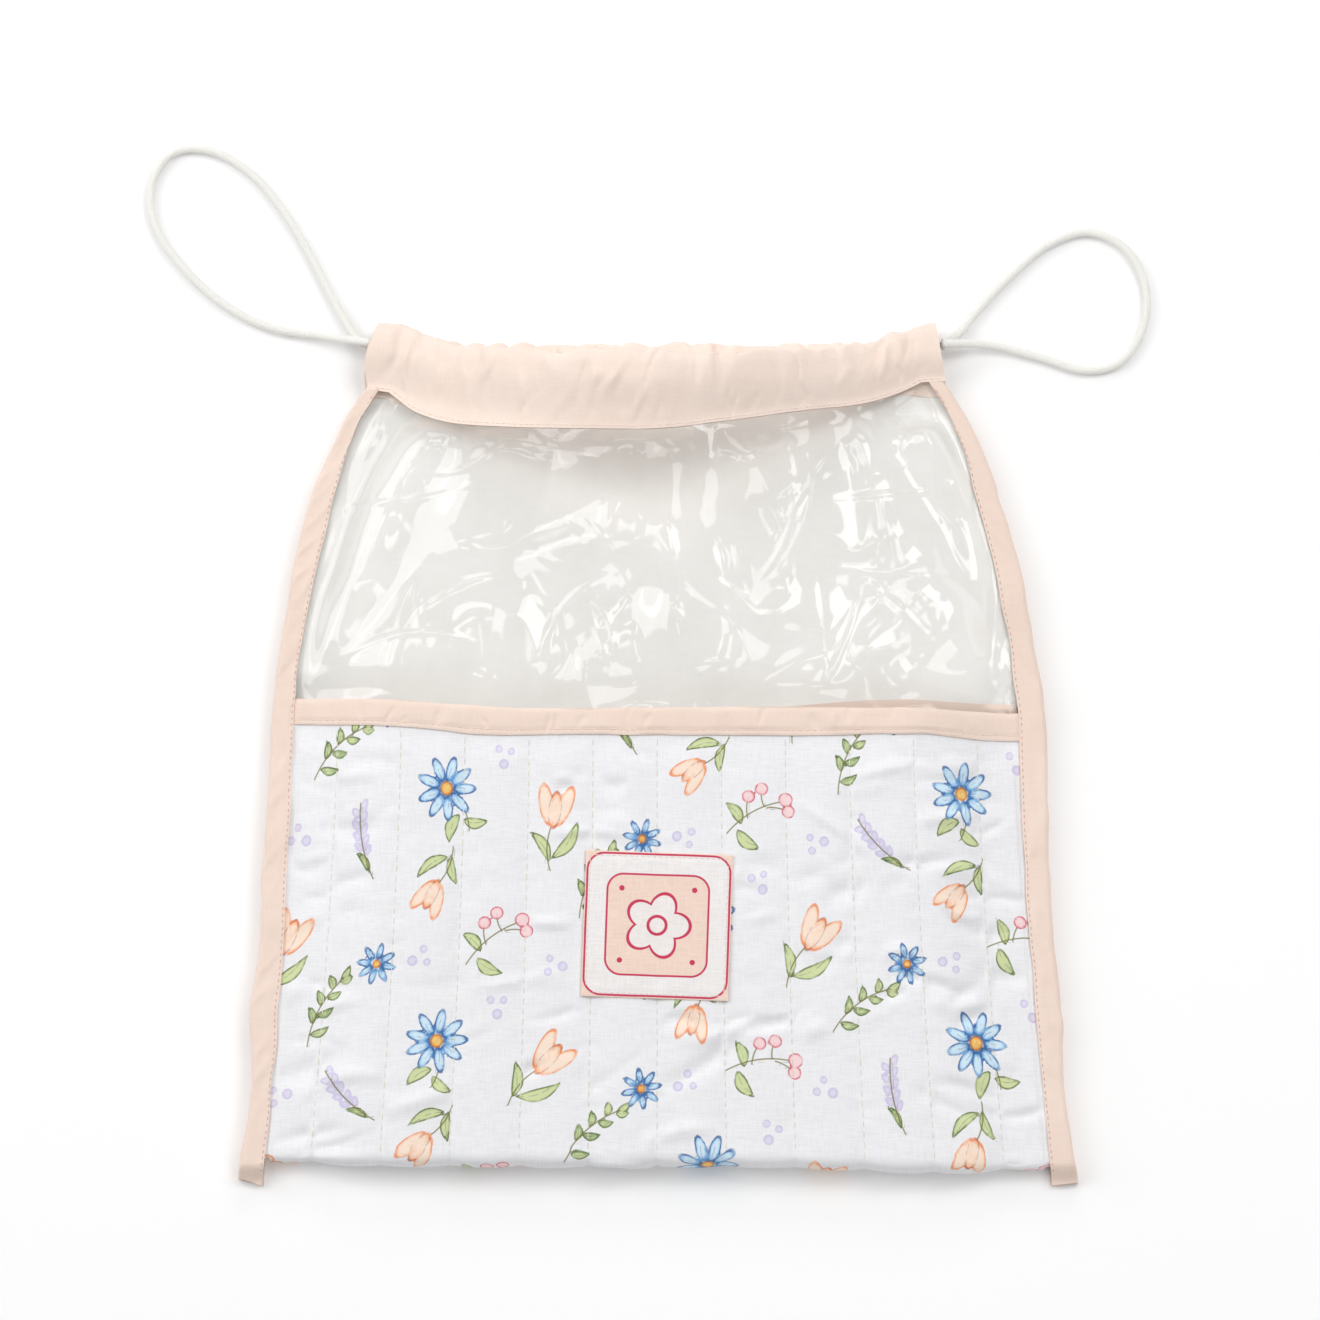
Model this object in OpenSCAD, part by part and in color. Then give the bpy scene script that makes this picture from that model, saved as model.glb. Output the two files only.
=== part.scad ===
// Drawcord shoe bag, lying on its back with the mouth a little open.
// X runs across the bag, Y from the bottom fold to the mouth, Z up from the floor.
// One quilted panel is folded at the bottom: its front half is the pocket, its back half the whole back.
// A clear window joins the pocket to the front casing, and bindings close both sides.

/* [Bag] */
// Width across the bottom, over the bindings
bag_w = 314; // [290:1:340]
// Width at the cross band, over the bindings
waist_w = 291; // [275:1:310]
// Width of the gathered mouth at the casings' lower edge, over the bindings
mouth_w = 225; // [200:1:250]
// Length from the binding ends to the top of the casings
bag_len = 327; // [310:1:350]
// Gap between the linings at the bottom fold
fold_gap = 6; // [5:0.5:10]
// Gap between the linings at the cross band
waist_gap = 12; // [9:0.5:16]
// Gap under the middle of the front casing
mouth_gap = 34; // [26:1:44]
// Width of the slope from each binding up to the flat of the pocket
shoulder_w = 46; // [36:1:60]

/* [Quilted panel] */
// Printed cotton cover
cover_t = 0.4; // [0.3:0.05:0.6]
// Wadding along the stitch lines
wadding_t = 1.6; // [1.2:0.1:2.4]
// Cotton lining
lining_t = 0.4; // [0.3:0.05:0.6]
// Clearance between the plies
ply_gap = 0.1; // [0.08:0.01:0.15]
// Distance between the rows of quilting
channel_w = 26; // [22:0.5:30]
// How far each channel stands above its stitch lines
channel_puff = 1; // [0.6:0.1:1.4]

/* [Window and cross band] */
// Clear window sheet
window_t = 0.4; // [0.3:0.05:0.6]
// Distance from the binding ends to the lower edge of the cross band
band_up = 168; // [155:0.5:180]
// Width of the cross band
band_w = 10; // [8:0.5:14]
// Cotton of the band and its facing
band_t = 0.5; // [0.4:0.05:0.8]
// How far the facing shows above the band
facing_show = 4; // [2:0.5:5]
// How far the left end of the cross band is drawn up
band_rise = 6; // [0:0.5:8]
// Height of the window's slack folds
fold_h = 6; // [0:0.2:8]
// Distance between the slack folds at the casing
fold_w = 41; // [36:1:60]

/* [Casings] */
// Width of each casing
casing_w = 27; // [25:0.5:32]
// Width across the casings' top edge
casing_top_w = 216.5; // [195:0.5:222]
// Cotton of the casings
casing_t = 0.6; // [0.5:0.05:0.8]
// Depth of the seam that holds the window or the back panel
casing_tuck = 3.2; // [2.5:0.1:4]
// How far the front casing dips between its ends
casing_dip = 18; // [10:1:26]
// Slope of the front casing at the middle of the mouth
rim_slope = 0.15; // [0:0.01:0.3]

/* [Side bindings] */
// Width of a binding
binding_w = 10; // [9:0.5:13]
// Folded cotton of a binding
binding_t = 0.8; // [0.6:0.05:1]
// How far the binding ends stand below the bottom fold
binding_tail = 6; // [2:0.2:8]

/* [Drawcord] */
// Diameter of the cord
cord_d = 3.2; // [2.6:0.1:3.6]
// Room around the cord in its casing
cord_room = 0.5; // [0.4:0.05:0.8]
// Distance of the cord from the casing's lower edge, at the middle
cord_up = 16; // [13:0.5:18]

/* [Label] */
// Side of the square label
label_w = 55; // [45:1:60]
// Cotton of the label
label_t = 0.6; // [0.4:0.1:1]
// Distance from the binding ends to the label's middle
label_up = 95.8; // [85:0.2:105]
// Turn of the label as sewn
label_turn = -2; // [-4:0.5:4]

/* [Sewing] */
// Width of a row of thread
thread_w = 0.6; // [0.4:0.1:0.8]
// Thickness of the thread
thread_t = 0.3; // [0.2:0.05:0.4]
// Distance of a seam from the edge that it holds
seam_in = 1.6; // [1.2:0.1:2.2]

/* [Hidden] */

// Clearances between soft pieces: ply to ply, cut edge to fold, end to end, and panel to panel in a seam
fit = 0.1;
edge_fit = 0.4;
end_fit = 0.4;
seam_gap = 0.4;

// Clear width between a binding's inner edge and the relief of the panels
hem_clear = 0.5;
// Least distance of the outermost quilting row from that place
line_clear = 6;
// Relief of the half channel beside a binding, as a share of a whole one
edge_puff = 0.7;
// Radius of a binding's outer folds
binding_bend = 1.2;

// Curve of the sides below the cross band, above it, and as they turn in to the casings
flare_power = 1.4;
side_power = 1.5;
turn_power = 6;
turn_share = 0.25;
// Curve of the window from the band up to the mouth
window_power = 1.5;

// Rows of facets along the panels
front_rows = 7;
fold_rows = 6;
back_rows = 12;
window_rows = 8;
binding_rows = 9;
casing_skip = 3;

// Heights
quilt_t = lining_t + ply_gap + wadding_t + ply_gap + cover_t;
stand = max(channel_puff, binding_t + fit);
back_z = stand + quilt_t;
front_z = back_z + seam_gap + quilt_t;
binding_top = front_z + fit + binding_t;

// Distance from the facing up to the place where the gathered part of the bindings begins
split_clear = 1;

// Places along the bag
y_bottom = -bag_len / 2;
y_top = bag_len / 2;
y_fold = y_bottom + binding_tail + (seam_gap + fold_gap) / 2 + quilt_t + channel_puff;
y_band = y_bottom + band_up;
y_join = y_band + band_w / 2;
function y_split(side) = y_band + band_w + facing_show + split_clear + (side < 0 ? band_rise : 0);
y_casing = y_top - casing_w;
y_label = y_bottom + label_up;

// The rise of the band's left end begins this far from the middle, and dies out over these lengths
rise_from = 45;
rise_run = 100;
rise_fade = 45;

// The slack folds spread by this share towards the band, and die out over these shares of the window's
// height at the band and at the casing, and over this width at the bindings
fold_spread = 0.25;
fold_low = 0.25;
fold_high = 0.12;
fold_side = 16;
// Shares of the even folds and of a slower swing in the folds' height, and how the two wander, in degrees
fold_even = 0.35;
fold_swing = 0.15;
fold_slow = 0.45;
fold_wander = 70;
fold_turn = 200;

// Depth of the window and of the back panel in their casings
tuck_in = casing_tuck - end_fit;

// Relief of the channels dies out over this length, just short of the cross band and the casings
fade_w = 10;
band_clear = 2;
casing_clear = 4;
y_front_flat = y_band - band_clear;
y_back_flat = y_casing - casing_clear;

// Half width over the bindings at a place along the bag
function half_w(y) =
    y < y_band
        ? waist_w / 2 + (bag_w - waist_w) / 2 * pow((y_band - y) / (y_band - y_bottom), flare_power)
        : waist_w / 2 - (waist_w - mouth_w) / 2 * narrowing((y - y_band) / (y_casing - y_band));
function narrowing(k) = (1 - turn_share) * pow(k, side_power) + turn_share * pow(k, turn_power);

// Half width of the cut edges inside the bindings
function cut_w(y) = half_w(y) - binding_t - edge_fit;

function mix(a, b, k) = a + (b - a) * k;
function clamp01(k) = min(1, max(0, k));
function ease(k) = let (q = clamp01(k)) q * q * (3 - 2 * q);

// Columns across the panels, in millimetres at the bottom of the bag: the quilting rows, the crowns
// between them, the inner edge of the binding and the cut edge
edge_c = cut_w(y_bottom);
hem_c = edge_c - binding_w + binding_t + edge_fit - hem_clear;
line_count = floor((hem_c - line_clear) / channel_w);
last_line = line_count * channel_w;
half_columns = concat(
    [for (i = [0 : 2 * line_count]) i * channel_w / 2],
    [(last_line + hem_c) / 2, hem_c, edge_c]
);
half_puffs = concat([for (i = [0 : 2 * line_count]) i % 2], [edge_puff, 0, 0]);
last = len(half_columns) - 1;
columns = concat([for (i = [last : -1 : 1]) -half_columns[i]], half_columns);
puffs = concat([for (i = [last : -1 : 1]) half_puffs[i]], half_puffs);
every = [for (i = [0 : len(columns) - 1]) i];

// Columns clear of the side seams, and those up to the bindings
pocket_columns = [for (c = columns) if (abs(c) < hem_c - end_fit) c];
inner_columns = concat([-hem_c + end_fit], pocket_columns, [hem_c - end_fit]);

// Place of a column at a given length along the bag: the hem keeps its width and the rest narrows
function across(c, y) =
    abs(c) >= hem_c
        ? sign(c) * (cut_w(y) - edge_c + abs(c))
        : c * (cut_w(y) - edge_c + hem_c) / hem_c;

// Rise of the pocket and of the mouth from one side to the other
function plateau(c) = ease((hem_c - abs(c)) / shoulder_w);
function arch(c) = abs(c) >= hem_c ? 0 : 0.5 + 0.5 * cos(180 * c / hem_c);

// Gap of the pocket along the bag
function pocket_gap(y) = mix(fold_gap, waist_gap, clamp01((y - y_fold) / (y_join - y_fold)));

// Lower edge of the front casing, which dips between its ends
function casing_y(c) = y_casing - casing_dip * max(0, 1 - pow(c / hem_c, 2));

// Upper face of the window
function window_z(c, y) =
    let (k = pow(max(0, (y - y_join) / (casing_y(c) - y_join)), window_power))
    front_z + mix(waist_gap * plateau(c), mouth_gap * arch(c), k);

// Outer face of the front along the stitch lines, with the window above the join
function front_face(c, y) =
    y > y_join ? window_z(c, y) : front_z + pocket_gap(y) * plateau(c);

// Rows of the folded panel, as a place along the bag and a turn round the bottom fold
panel_rows = concat(
    [[y_join, 0], [y_front_flat, 0]],
    [for (i = [0 : front_rows - 1]) [mix(y_front_flat - fade_w, y_fold, i / front_rows), 0]],
    [for (i = [0 : fold_rows]) [y_fold, 180 * i / fold_rows]],
    [for (i = [1 : back_rows]) [mix(y_fold, y_back_flat - fade_w, i / back_rows), 180]],
    [[y_back_flat, 180], [y_casing + tuck_in, 180]]
);

// Share of the channel relief left at a row
function relief(row) = 1 - ease((row[0] - (row[1] < 90 ? y_front_flat : y_back_flat)) / fade_w + 1);

// Point of the folded panel at a depth out from the lining's inner face
function panel_point(row, c, depth) =
    let (gap = seam_gap + pocket_gap(row[0]) * plateau(c))
    let (reach = gap / 2 + depth)
    [
        across(c, row[0]),
        row[0] - reach * sin(row[1]),
        back_z + gap / 2 + reach * cos(row[1])
    ];

// One face of the folded panel, with or without the channel relief
function panel_face(depth, puffed) = [
    for (row = panel_rows) [
        for (i = every)
            panel_point(row, columns[i], depth + puffed * channel_puff * puffs[i] * relief(row))
    ]
];

function quad(a, b, c, d) = [[a, b, c], [a, c, d]];

// Point of the cloth after the left end of the band is drawn up along the side
function settled(p) =
    let (left = ease((-p[0] - rise_from) / rise_run))
    let (y = p[1] + band_rise * left * exp(-pow((p[1] - y_join) / rise_fade, 2)))
    [p[0] * half_w(y) / half_w(p[1]), y, p[2]];

// Closed sheet between two matching grids of points
module sheet(outer, inner) {
    rows = len(outer);
    cols = len(outer[0]);
    count = rows * cols;
    function at(r, c) = r * cols + c;
    faces = [
        for (r = [0 : rows - 2], c = [0 : cols - 2])
            each concat(
                quad(at(r, c), at(r, c + 1), at(r + 1, c + 1), at(r + 1, c)),
                quad(
                    count + at(r, c), count + at(r + 1, c),
                    count + at(r + 1, c + 1), count + at(r, c + 1)
                )
            ),
        for (c = [0 : cols - 2])
            each concat(
                quad(at(0, c), count + at(0, c), count + at(0, c + 1), at(0, c + 1)),
                quad(
                    at(rows - 1, c), at(rows - 1, c + 1),
                    count + at(rows - 1, c + 1), count + at(rows - 1, c)
                )
            ),
        for (r = [0 : rows - 2])
            each concat(
                quad(at(r, 0), at(r + 1, 0), count + at(r + 1, 0), count + at(r, 0)),
                quad(
                    at(r, cols - 1), count + at(r, cols - 1),
                    count + at(r + 1, cols - 1), at(r + 1, cols - 1)
                )
            )
    ];
    points = [for (row = concat(outer, inner)) for (p = row) settled(p)];
    polyhedron(points, faces, convexity = 6);
}

// Round tube along a list of points
module tube(path, d) {
    sides = 8;
    rings = len(path);
    function unit(v) = v / norm(v);
    function way(i) = unit(path[min(i + 1, rings - 1)] - path[max(i - 1, 0)]);
    points = [
        for (i = [0 : rings - 1])
            let (side = unit(cross(way(i), [0, 0, 1])))
            let (up = cross(side, way(i)))
            for (k = [0 : sides - 1])
                path[i] + d / 2 * (cos(360 * (k + 0.5) / sides) * side + sin(360 * (k + 0.5) / sides) * up)
    ];
    faces = concat(
        [
            for (i = [0 : rings - 2], k = [0 : sides - 1])
                each quad(
                    i * sides + k, i * sides + (k + 1) % sides,
                    (i + 1) * sides + (k + 1) % sides, (i + 1) * sides + k
                )
        ],
        [for (k = [1 : sides - 2]) [0, k + 1, k]],
        [for (k = [1 : sides - 2]) let (e = (rings - 1) * sides) [e, e + k, e + k + 1]]
    );
    polyhedron(points, faces, convexity = 6);
}

// Smooth curve through hand-set points, with one more point in each span
function smooth(p) = [
    for (i = [0 : len(p) - 2])
        let (a = p[max(i - 1, 0)], b = p[i], c = p[i + 1], d = p[min(i + 2, len(p) - 1)])
        each [b, (9 * (b + c) - a - d) / 16],
    p[len(p) - 1]
];

// Points raised by a height
function raised(grid, h) = [for (row = grid) [for (p = row) p + [0, 0, h]]];

// Depths of the plies, out from the lining's inner face
wadding_in = lining_t + ply_gap;
wadding_out = wadding_in + wadding_t;
cover_in = wadding_out + ply_gap;

module outer_cover() {
    color([0.96, 0.96, 0.98])
        sheet(panel_face(quilt_t, 1), panel_face(cover_in, 1));
}

module wadding() {
    color([0.98, 0.98, 0.97])
        sheet(panel_face(wadding_out, 1), panel_face(wadding_in, 0));
}

module inner_lining() {
    color([0.90, 0.87, 0.84])
        sheet(panel_face(lining_t, 0), panel_face(0, 0));
}

// Window rows: its tuck in the casing, its free run down to the band, and the join under the band
y_free = y_band + band_w + end_fit;
function window_row(c, i) =
    i == 0 ? casing_y(c) + tuck_in
    : i > window_rows + 1 ? y_join + fit
    : mix(casing_y(c), y_free, (i - 1) / window_rows);

// Slack of the window, which is cut wider than the gathered casing: folds that fan out from the casing
function window_fold(c, k) =
    let (at = 360 * c / fold_w * (1 - fold_spread * (1 - k)))
    let (free = ease((hem_c - abs(c)) / fold_side) * ease(k / fold_low) * ease((1 - k) / fold_high))
    let (even = fold_even * sin(at + fold_wander * sin(at / 3)))
    let (swing = fold_swing * sin(at * fold_slow + fold_turn * k))
    fold_h * free * (fold_even + fold_swing + even + swing);

// Window columns: one more between each two of the panels'
function halved(row) = [
    for (i = [0 : len(row) - 2]) each [row[i], (row[i] + row[i + 1]) / 2],
    row[len(row) - 1]
];
window_columns = halved(columns);

function window_point(c, i) =
    let (y = window_row(c, i))
    [across(c, y), y, window_z(c, y) + window_fold(c, clamp01(1 - (i - 1) / window_rows))];

// Rows in or next to a seam keep the straight runs of the pieces that hold them
module window_panel() {
    top = [
        for (i = [0 : window_rows + 2])
            i < 2 || i > window_rows
                ? halved([for (c = columns) window_point(c, i)])
                : [for (c = window_columns) window_point(c, i)]
    ];
    color([0.92, 0.94, 0.95, 0.35])
        sheet(top, raised(top, -window_t));
}

// Strip across the bag that lies a given height above or below the front's outer face
function strip(y_high, y_low, span, h) = [
    for (y = [y_high, (y_high + y_join) / 2, y_join, y_low]) [
        for (c = span)
            [across(c, y), y, front_face(c, y) + h]
    ]
];

band_lift = 0.2;

module cross_band() {
    low = strip(y_band + band_w, y_band, inner_columns, band_lift);
    color([0.95, 0.86, 0.79])
        sheet(raised(low, band_t), low);
}

// Strip inside the bag, under the lining
module band_facing() {
    high = strip(y_band + band_w + facing_show, y_band, pocket_columns, -quilt_t - band_lift);
    color([0.90, 0.78, 0.71])
        sheet(high, raised(high, -band_t));
}

// Profile of a casing folded round its cord, as distance from the lower edge and half opening
tunnel_half = cord_d / 2 + cord_room + casing_t / 2;
tunnel_low = cord_up - 4;
tunnel_high = cord_up + 6.5;
top_fold = 1.4;
function casing_profile(seam_half) = [
    [0, seam_half],
    [casing_tuck, seam_half],
    [mix(casing_tuck, tunnel_low, 0.5), mix(seam_half, tunnel_half, 0.6)],
    [tunnel_low, tunnel_half],
    [mix(tunnel_low, tunnel_high, 0.5), tunnel_half],
    [tunnel_high, tunnel_half],
    [casing_w - top_fold, tunnel_half / 2]
];

// Folded outline: up the front layer, over the top fold and down the back layer
function casing_outline(seam_half) =
    let (p = casing_profile(seam_half))
    concat(
        [for (q = p) q],
        [[casing_w - casing_t / 2, 0]],
        [for (i = [len(p) - 1 : -1 : 0]) [p[i][0], -p[i][1]]]
    );

// Outline moved out by half the cotton, square to its run
function outline_side(o, h) = [
    for (i = [0 : len(o) - 1])
        let (v = o[min(i + 1, len(o) - 1)] - o[max(i - 1, 0)])
        let (n = [-v[1], v[0]] / norm(v))
        o[i] + h * n
];

// Taper of a casing towards its top edge
function taper(a) =
    mix(1, casing_top_w / mouth_w, clamp01((a - casing_tuck) / (casing_w - casing_tuck)));

// Middle of the front casing and of the back casing, at a distance from the lower edge
tunnel_lift = tunnel_half * 2 + casing_t + end_fit;
back_mid = back_z - quilt_t / 2;
back_tunnel_z = tunnel_half + casing_t / 2 + stand - binding_t;
function swell(a) = ease((a - casing_tuck) / (tunnel_low - casing_tuck));
function front_casing_point(c, a, h) =
    let (tuck = min(a, casing_tuck))
    let (y = casing_y(c) + tuck)
    let (seam_z = window_z(c, y) - window_t / 2)
    let (end_lift = back_tunnel_z + tunnel_lift - front_z + window_t / 2)
    [
        across(c, y) * taper(a),
        casing_y(c) + a,
        seam_z + swell(a) * end_lift + (a - tuck) * rim_slope * arch(c) + h
    ];
function back_casing_point(c, a, h) = [
    across(c, y_casing + min(a, casing_tuck)) * taper(a),
    y_casing + a,
    mix(back_mid, back_tunnel_z, swell(a)) + h
];

front_outline = casing_outline(window_t / 2 + 2 * fit + casing_t / 2);
back_outline = casing_outline(quilt_t / 2 + fit + casing_t / 2);
back_columns = [for (i = every) if (i % casing_skip == 0 || i == len(columns) - 1) columns[i]];

module front_casing() {
    color([0.96, 0.88, 0.82])
        sheet(
            [for (q = outline_side(front_outline, casing_t / 2))
                [for (i = [len(columns) - 1 : -1 : 0]) front_casing_point(columns[i], q[0], q[1])]],
            [for (q = outline_side(front_outline, -casing_t / 2))
                [for (i = [len(columns) - 1 : -1 : 0]) front_casing_point(columns[i], q[0], q[1])]]
        );
}

module back_casing() {
    n = len(back_columns) - 1;
    color([0.93, 0.84, 0.77])
        sheet(
            [for (q = outline_side(back_outline, casing_t / 2))
                [for (i = [n : -1 : 0]) back_casing_point(back_columns[i], q[0], q[1])]],
            [for (q = outline_side(back_outline, -casing_t / 2))
                [for (i = [n : -1 : 0]) back_casing_point(back_columns[i], q[0], q[1])]]
        );
}

// Half of a binding's folded profile at a place along the bag, set in by its thickness
function binding_ring(y, inset, bend) =
    let (x = half_w(y))
    let (in = x - binding_w)
    [
        [in, y, inset],
        [x - inset - bend, y, inset],
        [x - inset, y, inset + bend],
        [x - inset, y, binding_top - inset - bend],
        [x - inset - bend, y, binding_top - inset],
        [in, y, binding_top - inset]
    ];
function binding_face(y0, y1, inset, bend) = [
    for (i = [0 : binding_rows]) binding_ring(mix(y0, y1, i / binding_rows), inset, bend)
];

module binding(y0, y1, side) {
    mirror([side < 0 ? 1 : 0, 0, 0])
        color([0.95, 0.86, 0.79])
            sheet(binding_face(y0, y1, 0, binding_bend), binding_face(y0, y1, binding_t, fit));
}

module left_lower_binding() {
    binding(y_bottom, y_split(-1), -1);
}

module left_upper_binding() {
    binding(y_split(-1) + end_fit, y_casing - end_fit, -1);
}

module right_lower_binding() {
    binding(y_bottom, y_split(1), 1);
}

module right_upper_binding() {
    binding(y_split(1) + end_fit, y_casing - end_fit, 1);
}

// Cord inside a casing, nearer the top edge at the casing's ends
cord_rise = 4;
// Steps of the cord along the arched front casing and the flat back casing
front_run_steps = 18;
back_run_steps = 8;
function run_columns(steps) = [for (i = [0 : steps]) mix(-edge_c, edge_c, i / steps)];
function cord_a(c) = cord_up + cord_rise * pow(c / edge_c, 2);

module front_cord_run() {
    color([0.96, 0.95, 0.92])
        tube([for (c = run_columns(front_run_steps)) front_casing_point(c, cord_a(c), 0)], cord_d);
}

module back_cord_run() {
    color([0.96, 0.95, 0.92])
        tube([for (c = run_columns(back_run_steps)) back_casing_point(c, cord_a(c), 0)], cord_d);
}

// Free loops of the cord, from the back casing round to the front casing
left_route = [
    [-106.8, 156.5, 2.9], [-113, 159.5, 2.8], [-121, 172, 2], [-129, 188, 1.7], [-139, 205.5, 1.7],
    [-152, 222, 1.7], [-168, 232, 1.7], [-183, 231.5, 1.7], [-191, 219, 1.7], [-189, 202, 1.7],
    [-178, 186, 1.7], [-163, 172.5, 1.7], [-146, 164, 1.7], [-127, 160.5, 2.8], [-107.2, 156.5, 8.7]
];
right_route = [
    [106.8, 156.5, 2.9], [112, 159.5, 2.8], [121, 170.5, 2], [133, 183.5, 1.7], [147, 195.5, 1.7],
    [162, 200.8, 1.7], [176, 195, 1.7], [184, 181, 1.7], [183.5, 164.5, 1.7], [175, 151, 1.7],
    [161, 147.5, 1.7], [144, 152.5, 1.7], [126, 156.8, 3], [107.2, 156.5, 8.7]
];

module left_loop() {
    color([0.97, 0.96, 0.93])
        tube(smooth(left_route), cord_d);
}

module right_loop() {
    color([0.97, 0.96, 0.93])
        tube(smooth(right_route), cord_d);
}

// Slope of the pocket's flat and the place of the label on it
pocket_tilt = atan((waist_gap - fold_gap) / (y_join - y_fold));
label_z = front_face(0, y_label) + channel_puff + fit;
module on_label() {
    translate([0, y_label, label_z])
        rotate([pocket_tilt, 0, 0])
            rotate([0, 0, label_turn])
                children();
}

module label() {
    color([0.97, 0.93, 0.90])
        on_label()
            translate([-label_w / 2, -label_w / 2, 0])
                cube([label_w, label_w, label_t]);
}

// Thread sewn round the label, near its edge
module label_thread() {
    side = label_w - 2 * seam_in;
    color([0.93, 0.86, 0.80])
        on_label()
            translate([0, 0, label_t])
                difference() {
                    translate([-side / 2, -side / 2, 0])
                        cube([side, side, thread_t]);
                    translate([thread_w - side / 2, thread_w - side / 2, -1])
                        cube([side - 2 * thread_w, side - 2 * thread_w, thread_t + 2]);
                }
}

// Flat row of thread between matching edges
module thread(edge) {
    sheet(raised(edge, thread_t), edge);
}

// Rows of quilting from the band, round the fold
thread_clear = 0.1;
front_thread_rows = [for (row = panel_rows) if (row[1] == 0 && row[0] < y_band) row];
module quilting_thread() {
    color([0.93, 0.92, 0.85])
        for (k = [-line_count : line_count])
            thread([
                for (row = front_thread_rows)
                    [for (side = [-1, 1])
                        panel_point(row, k * channel_w + side * thread_w / 2, quilt_t + thread_clear)]
            ]);
}

// Row of thread along the lower edge of the cross band
module band_thread() {
    lift = band_lift + band_t + thread_clear;
    color([0.95, 0.90, 0.84])
        thread([
            for (y = [y_band + seam_in + thread_w, y_band + seam_in])
                [for (c = inner_columns) [across(c, y), y, front_face(c, y) + lift]]
        ]);
}

// Row of thread along the lower edge of the front casing
module casing_thread() {
    h = front_outline[0][1] + casing_t / 2 + thread_clear;
    color([0.95, 0.90, 0.84])
        thread([
            for (a = [seam_in + thread_w, seam_in])
                [for (c = columns) front_casing_point(c, a, h)]
        ]);
}

outer_cover();
wadding();
inner_lining();
window_panel();
cross_band();
band_facing();
front_casing();
back_casing();
left_lower_binding();
left_upper_binding();
right_lower_binding();
right_upper_binding();
front_cord_run();
back_cord_run();
left_loop();
right_loop();
label();
quilting_thread();
band_thread();
casing_thread();
label_thread();
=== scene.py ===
"""A drawcord shoe bag lying on its back: quilted pocket, clear window, peach casings and bindings."""

import math

import bpy
import numpy as np
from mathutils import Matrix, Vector


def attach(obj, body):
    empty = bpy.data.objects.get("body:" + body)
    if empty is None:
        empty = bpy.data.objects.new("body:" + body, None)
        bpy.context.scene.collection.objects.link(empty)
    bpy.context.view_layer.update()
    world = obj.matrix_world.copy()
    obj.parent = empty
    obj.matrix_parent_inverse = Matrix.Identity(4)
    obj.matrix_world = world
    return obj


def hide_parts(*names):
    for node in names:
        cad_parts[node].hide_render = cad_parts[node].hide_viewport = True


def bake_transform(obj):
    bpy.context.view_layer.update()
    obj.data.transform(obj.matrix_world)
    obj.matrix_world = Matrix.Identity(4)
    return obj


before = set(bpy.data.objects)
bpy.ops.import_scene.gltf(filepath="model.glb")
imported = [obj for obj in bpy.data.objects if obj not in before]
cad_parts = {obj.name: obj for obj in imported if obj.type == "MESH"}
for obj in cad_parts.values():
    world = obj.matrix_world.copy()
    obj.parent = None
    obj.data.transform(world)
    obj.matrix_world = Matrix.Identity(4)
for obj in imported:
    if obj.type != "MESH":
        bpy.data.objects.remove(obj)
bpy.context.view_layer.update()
scene = bpy.context.scene

# Sizes of the bag in millimetres, as its solids have them
MM = 0.001
BAG_W, WAIST_W, MOUTH_W, BAG_LEN = 314.0, 291.0, 225.0, 327.0
FOLD_GAP, WAIST_GAP, MOUTH_GAP = 6.0, 12.0, 34.0
SHOULDER_W, CHANNEL_W, CHANNEL_PUFF = 46.0, 26.0, 1.0
COVER_T, LINING_T, QUILT_T, SEAM_GAP, STAND = 0.4, 0.4, 2.6, 0.4, 1.0
WINDOW_T, BAND_UP, BAND_W, BAND_T, BAND_LIFT = 0.4, 168.0, 10.0, 0.5, 0.2
CASING_W, CASING_TOP_W, CASING_T, CASING_TUCK, CASING_DIP = 27.0, 216.5, 0.6, 3.2, 18.0
RIM_SLOPE, TUCK_IN, TUNNEL_HALF, CORD_UP = 0.15, 2.8, 2.4, 16.0
TUNNEL_LOW, TUNNEL_HIGH, TOP_FOLD = 17.0, 22.5, 1.4
BINDING_W, BINDING_T, BINDING_TAIL = 10.0, 0.8, 6.0
CORD_D, CORD_RISE, CORD_RIBS = 3.2, 4.0, 8
LABEL_W, LABEL_T, LABEL_TURN = 55.0, 0.6, math.radians(-2)
FLARE_POWER, SIDE_POWER, TURN_POWER, TURN_SHARE, WINDOW_POWER = 1.4, 1.5, 6.0, 0.25, 1.5
FADE_W, BAND_CLEAR, CASING_CLEAR = 10.0, 2.0, 4.0
BAND_RISE, RISE_FROM, RISE_RUN, RISE_FADE = 6.0, 45.0, 100.0, 45.0
FOLD_H, FOLD_W, FOLD_SPREAD, FOLD_LOW, FOLD_HIGH, FOLD_SIDE = 6.0, 41.0, 0.25, 0.25, 0.12, 16.0
FOLD_EVEN, FOLD_SWING, FOLD_SLOW = 0.35, 0.15, 0.45
FOLD_WANDER, FOLD_TURN = math.radians(70), math.radians(200)

BACK_Z = STAND + QUILT_T
FRONT_Z = BACK_Z + SEAM_GAP + QUILT_T
BINDING_TOP = FRONT_Z + 0.1 + BINDING_T
Y_BOTTOM, Y_TOP = -BAG_LEN / 2, BAG_LEN / 2
Y_FOLD = Y_BOTTOM + BINDING_TAIL + (SEAM_GAP + FOLD_GAP) / 2 + QUILT_T + CHANNEL_PUFF
Y_BAND = Y_BOTTOM + BAND_UP
Y_JOIN = Y_BAND + BAND_W / 2
Y_FREE = Y_BAND + BAND_W + 0.4
Y_CASING = Y_TOP - CASING_W
Y_LABEL = Y_BOTTOM + 95.8
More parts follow.
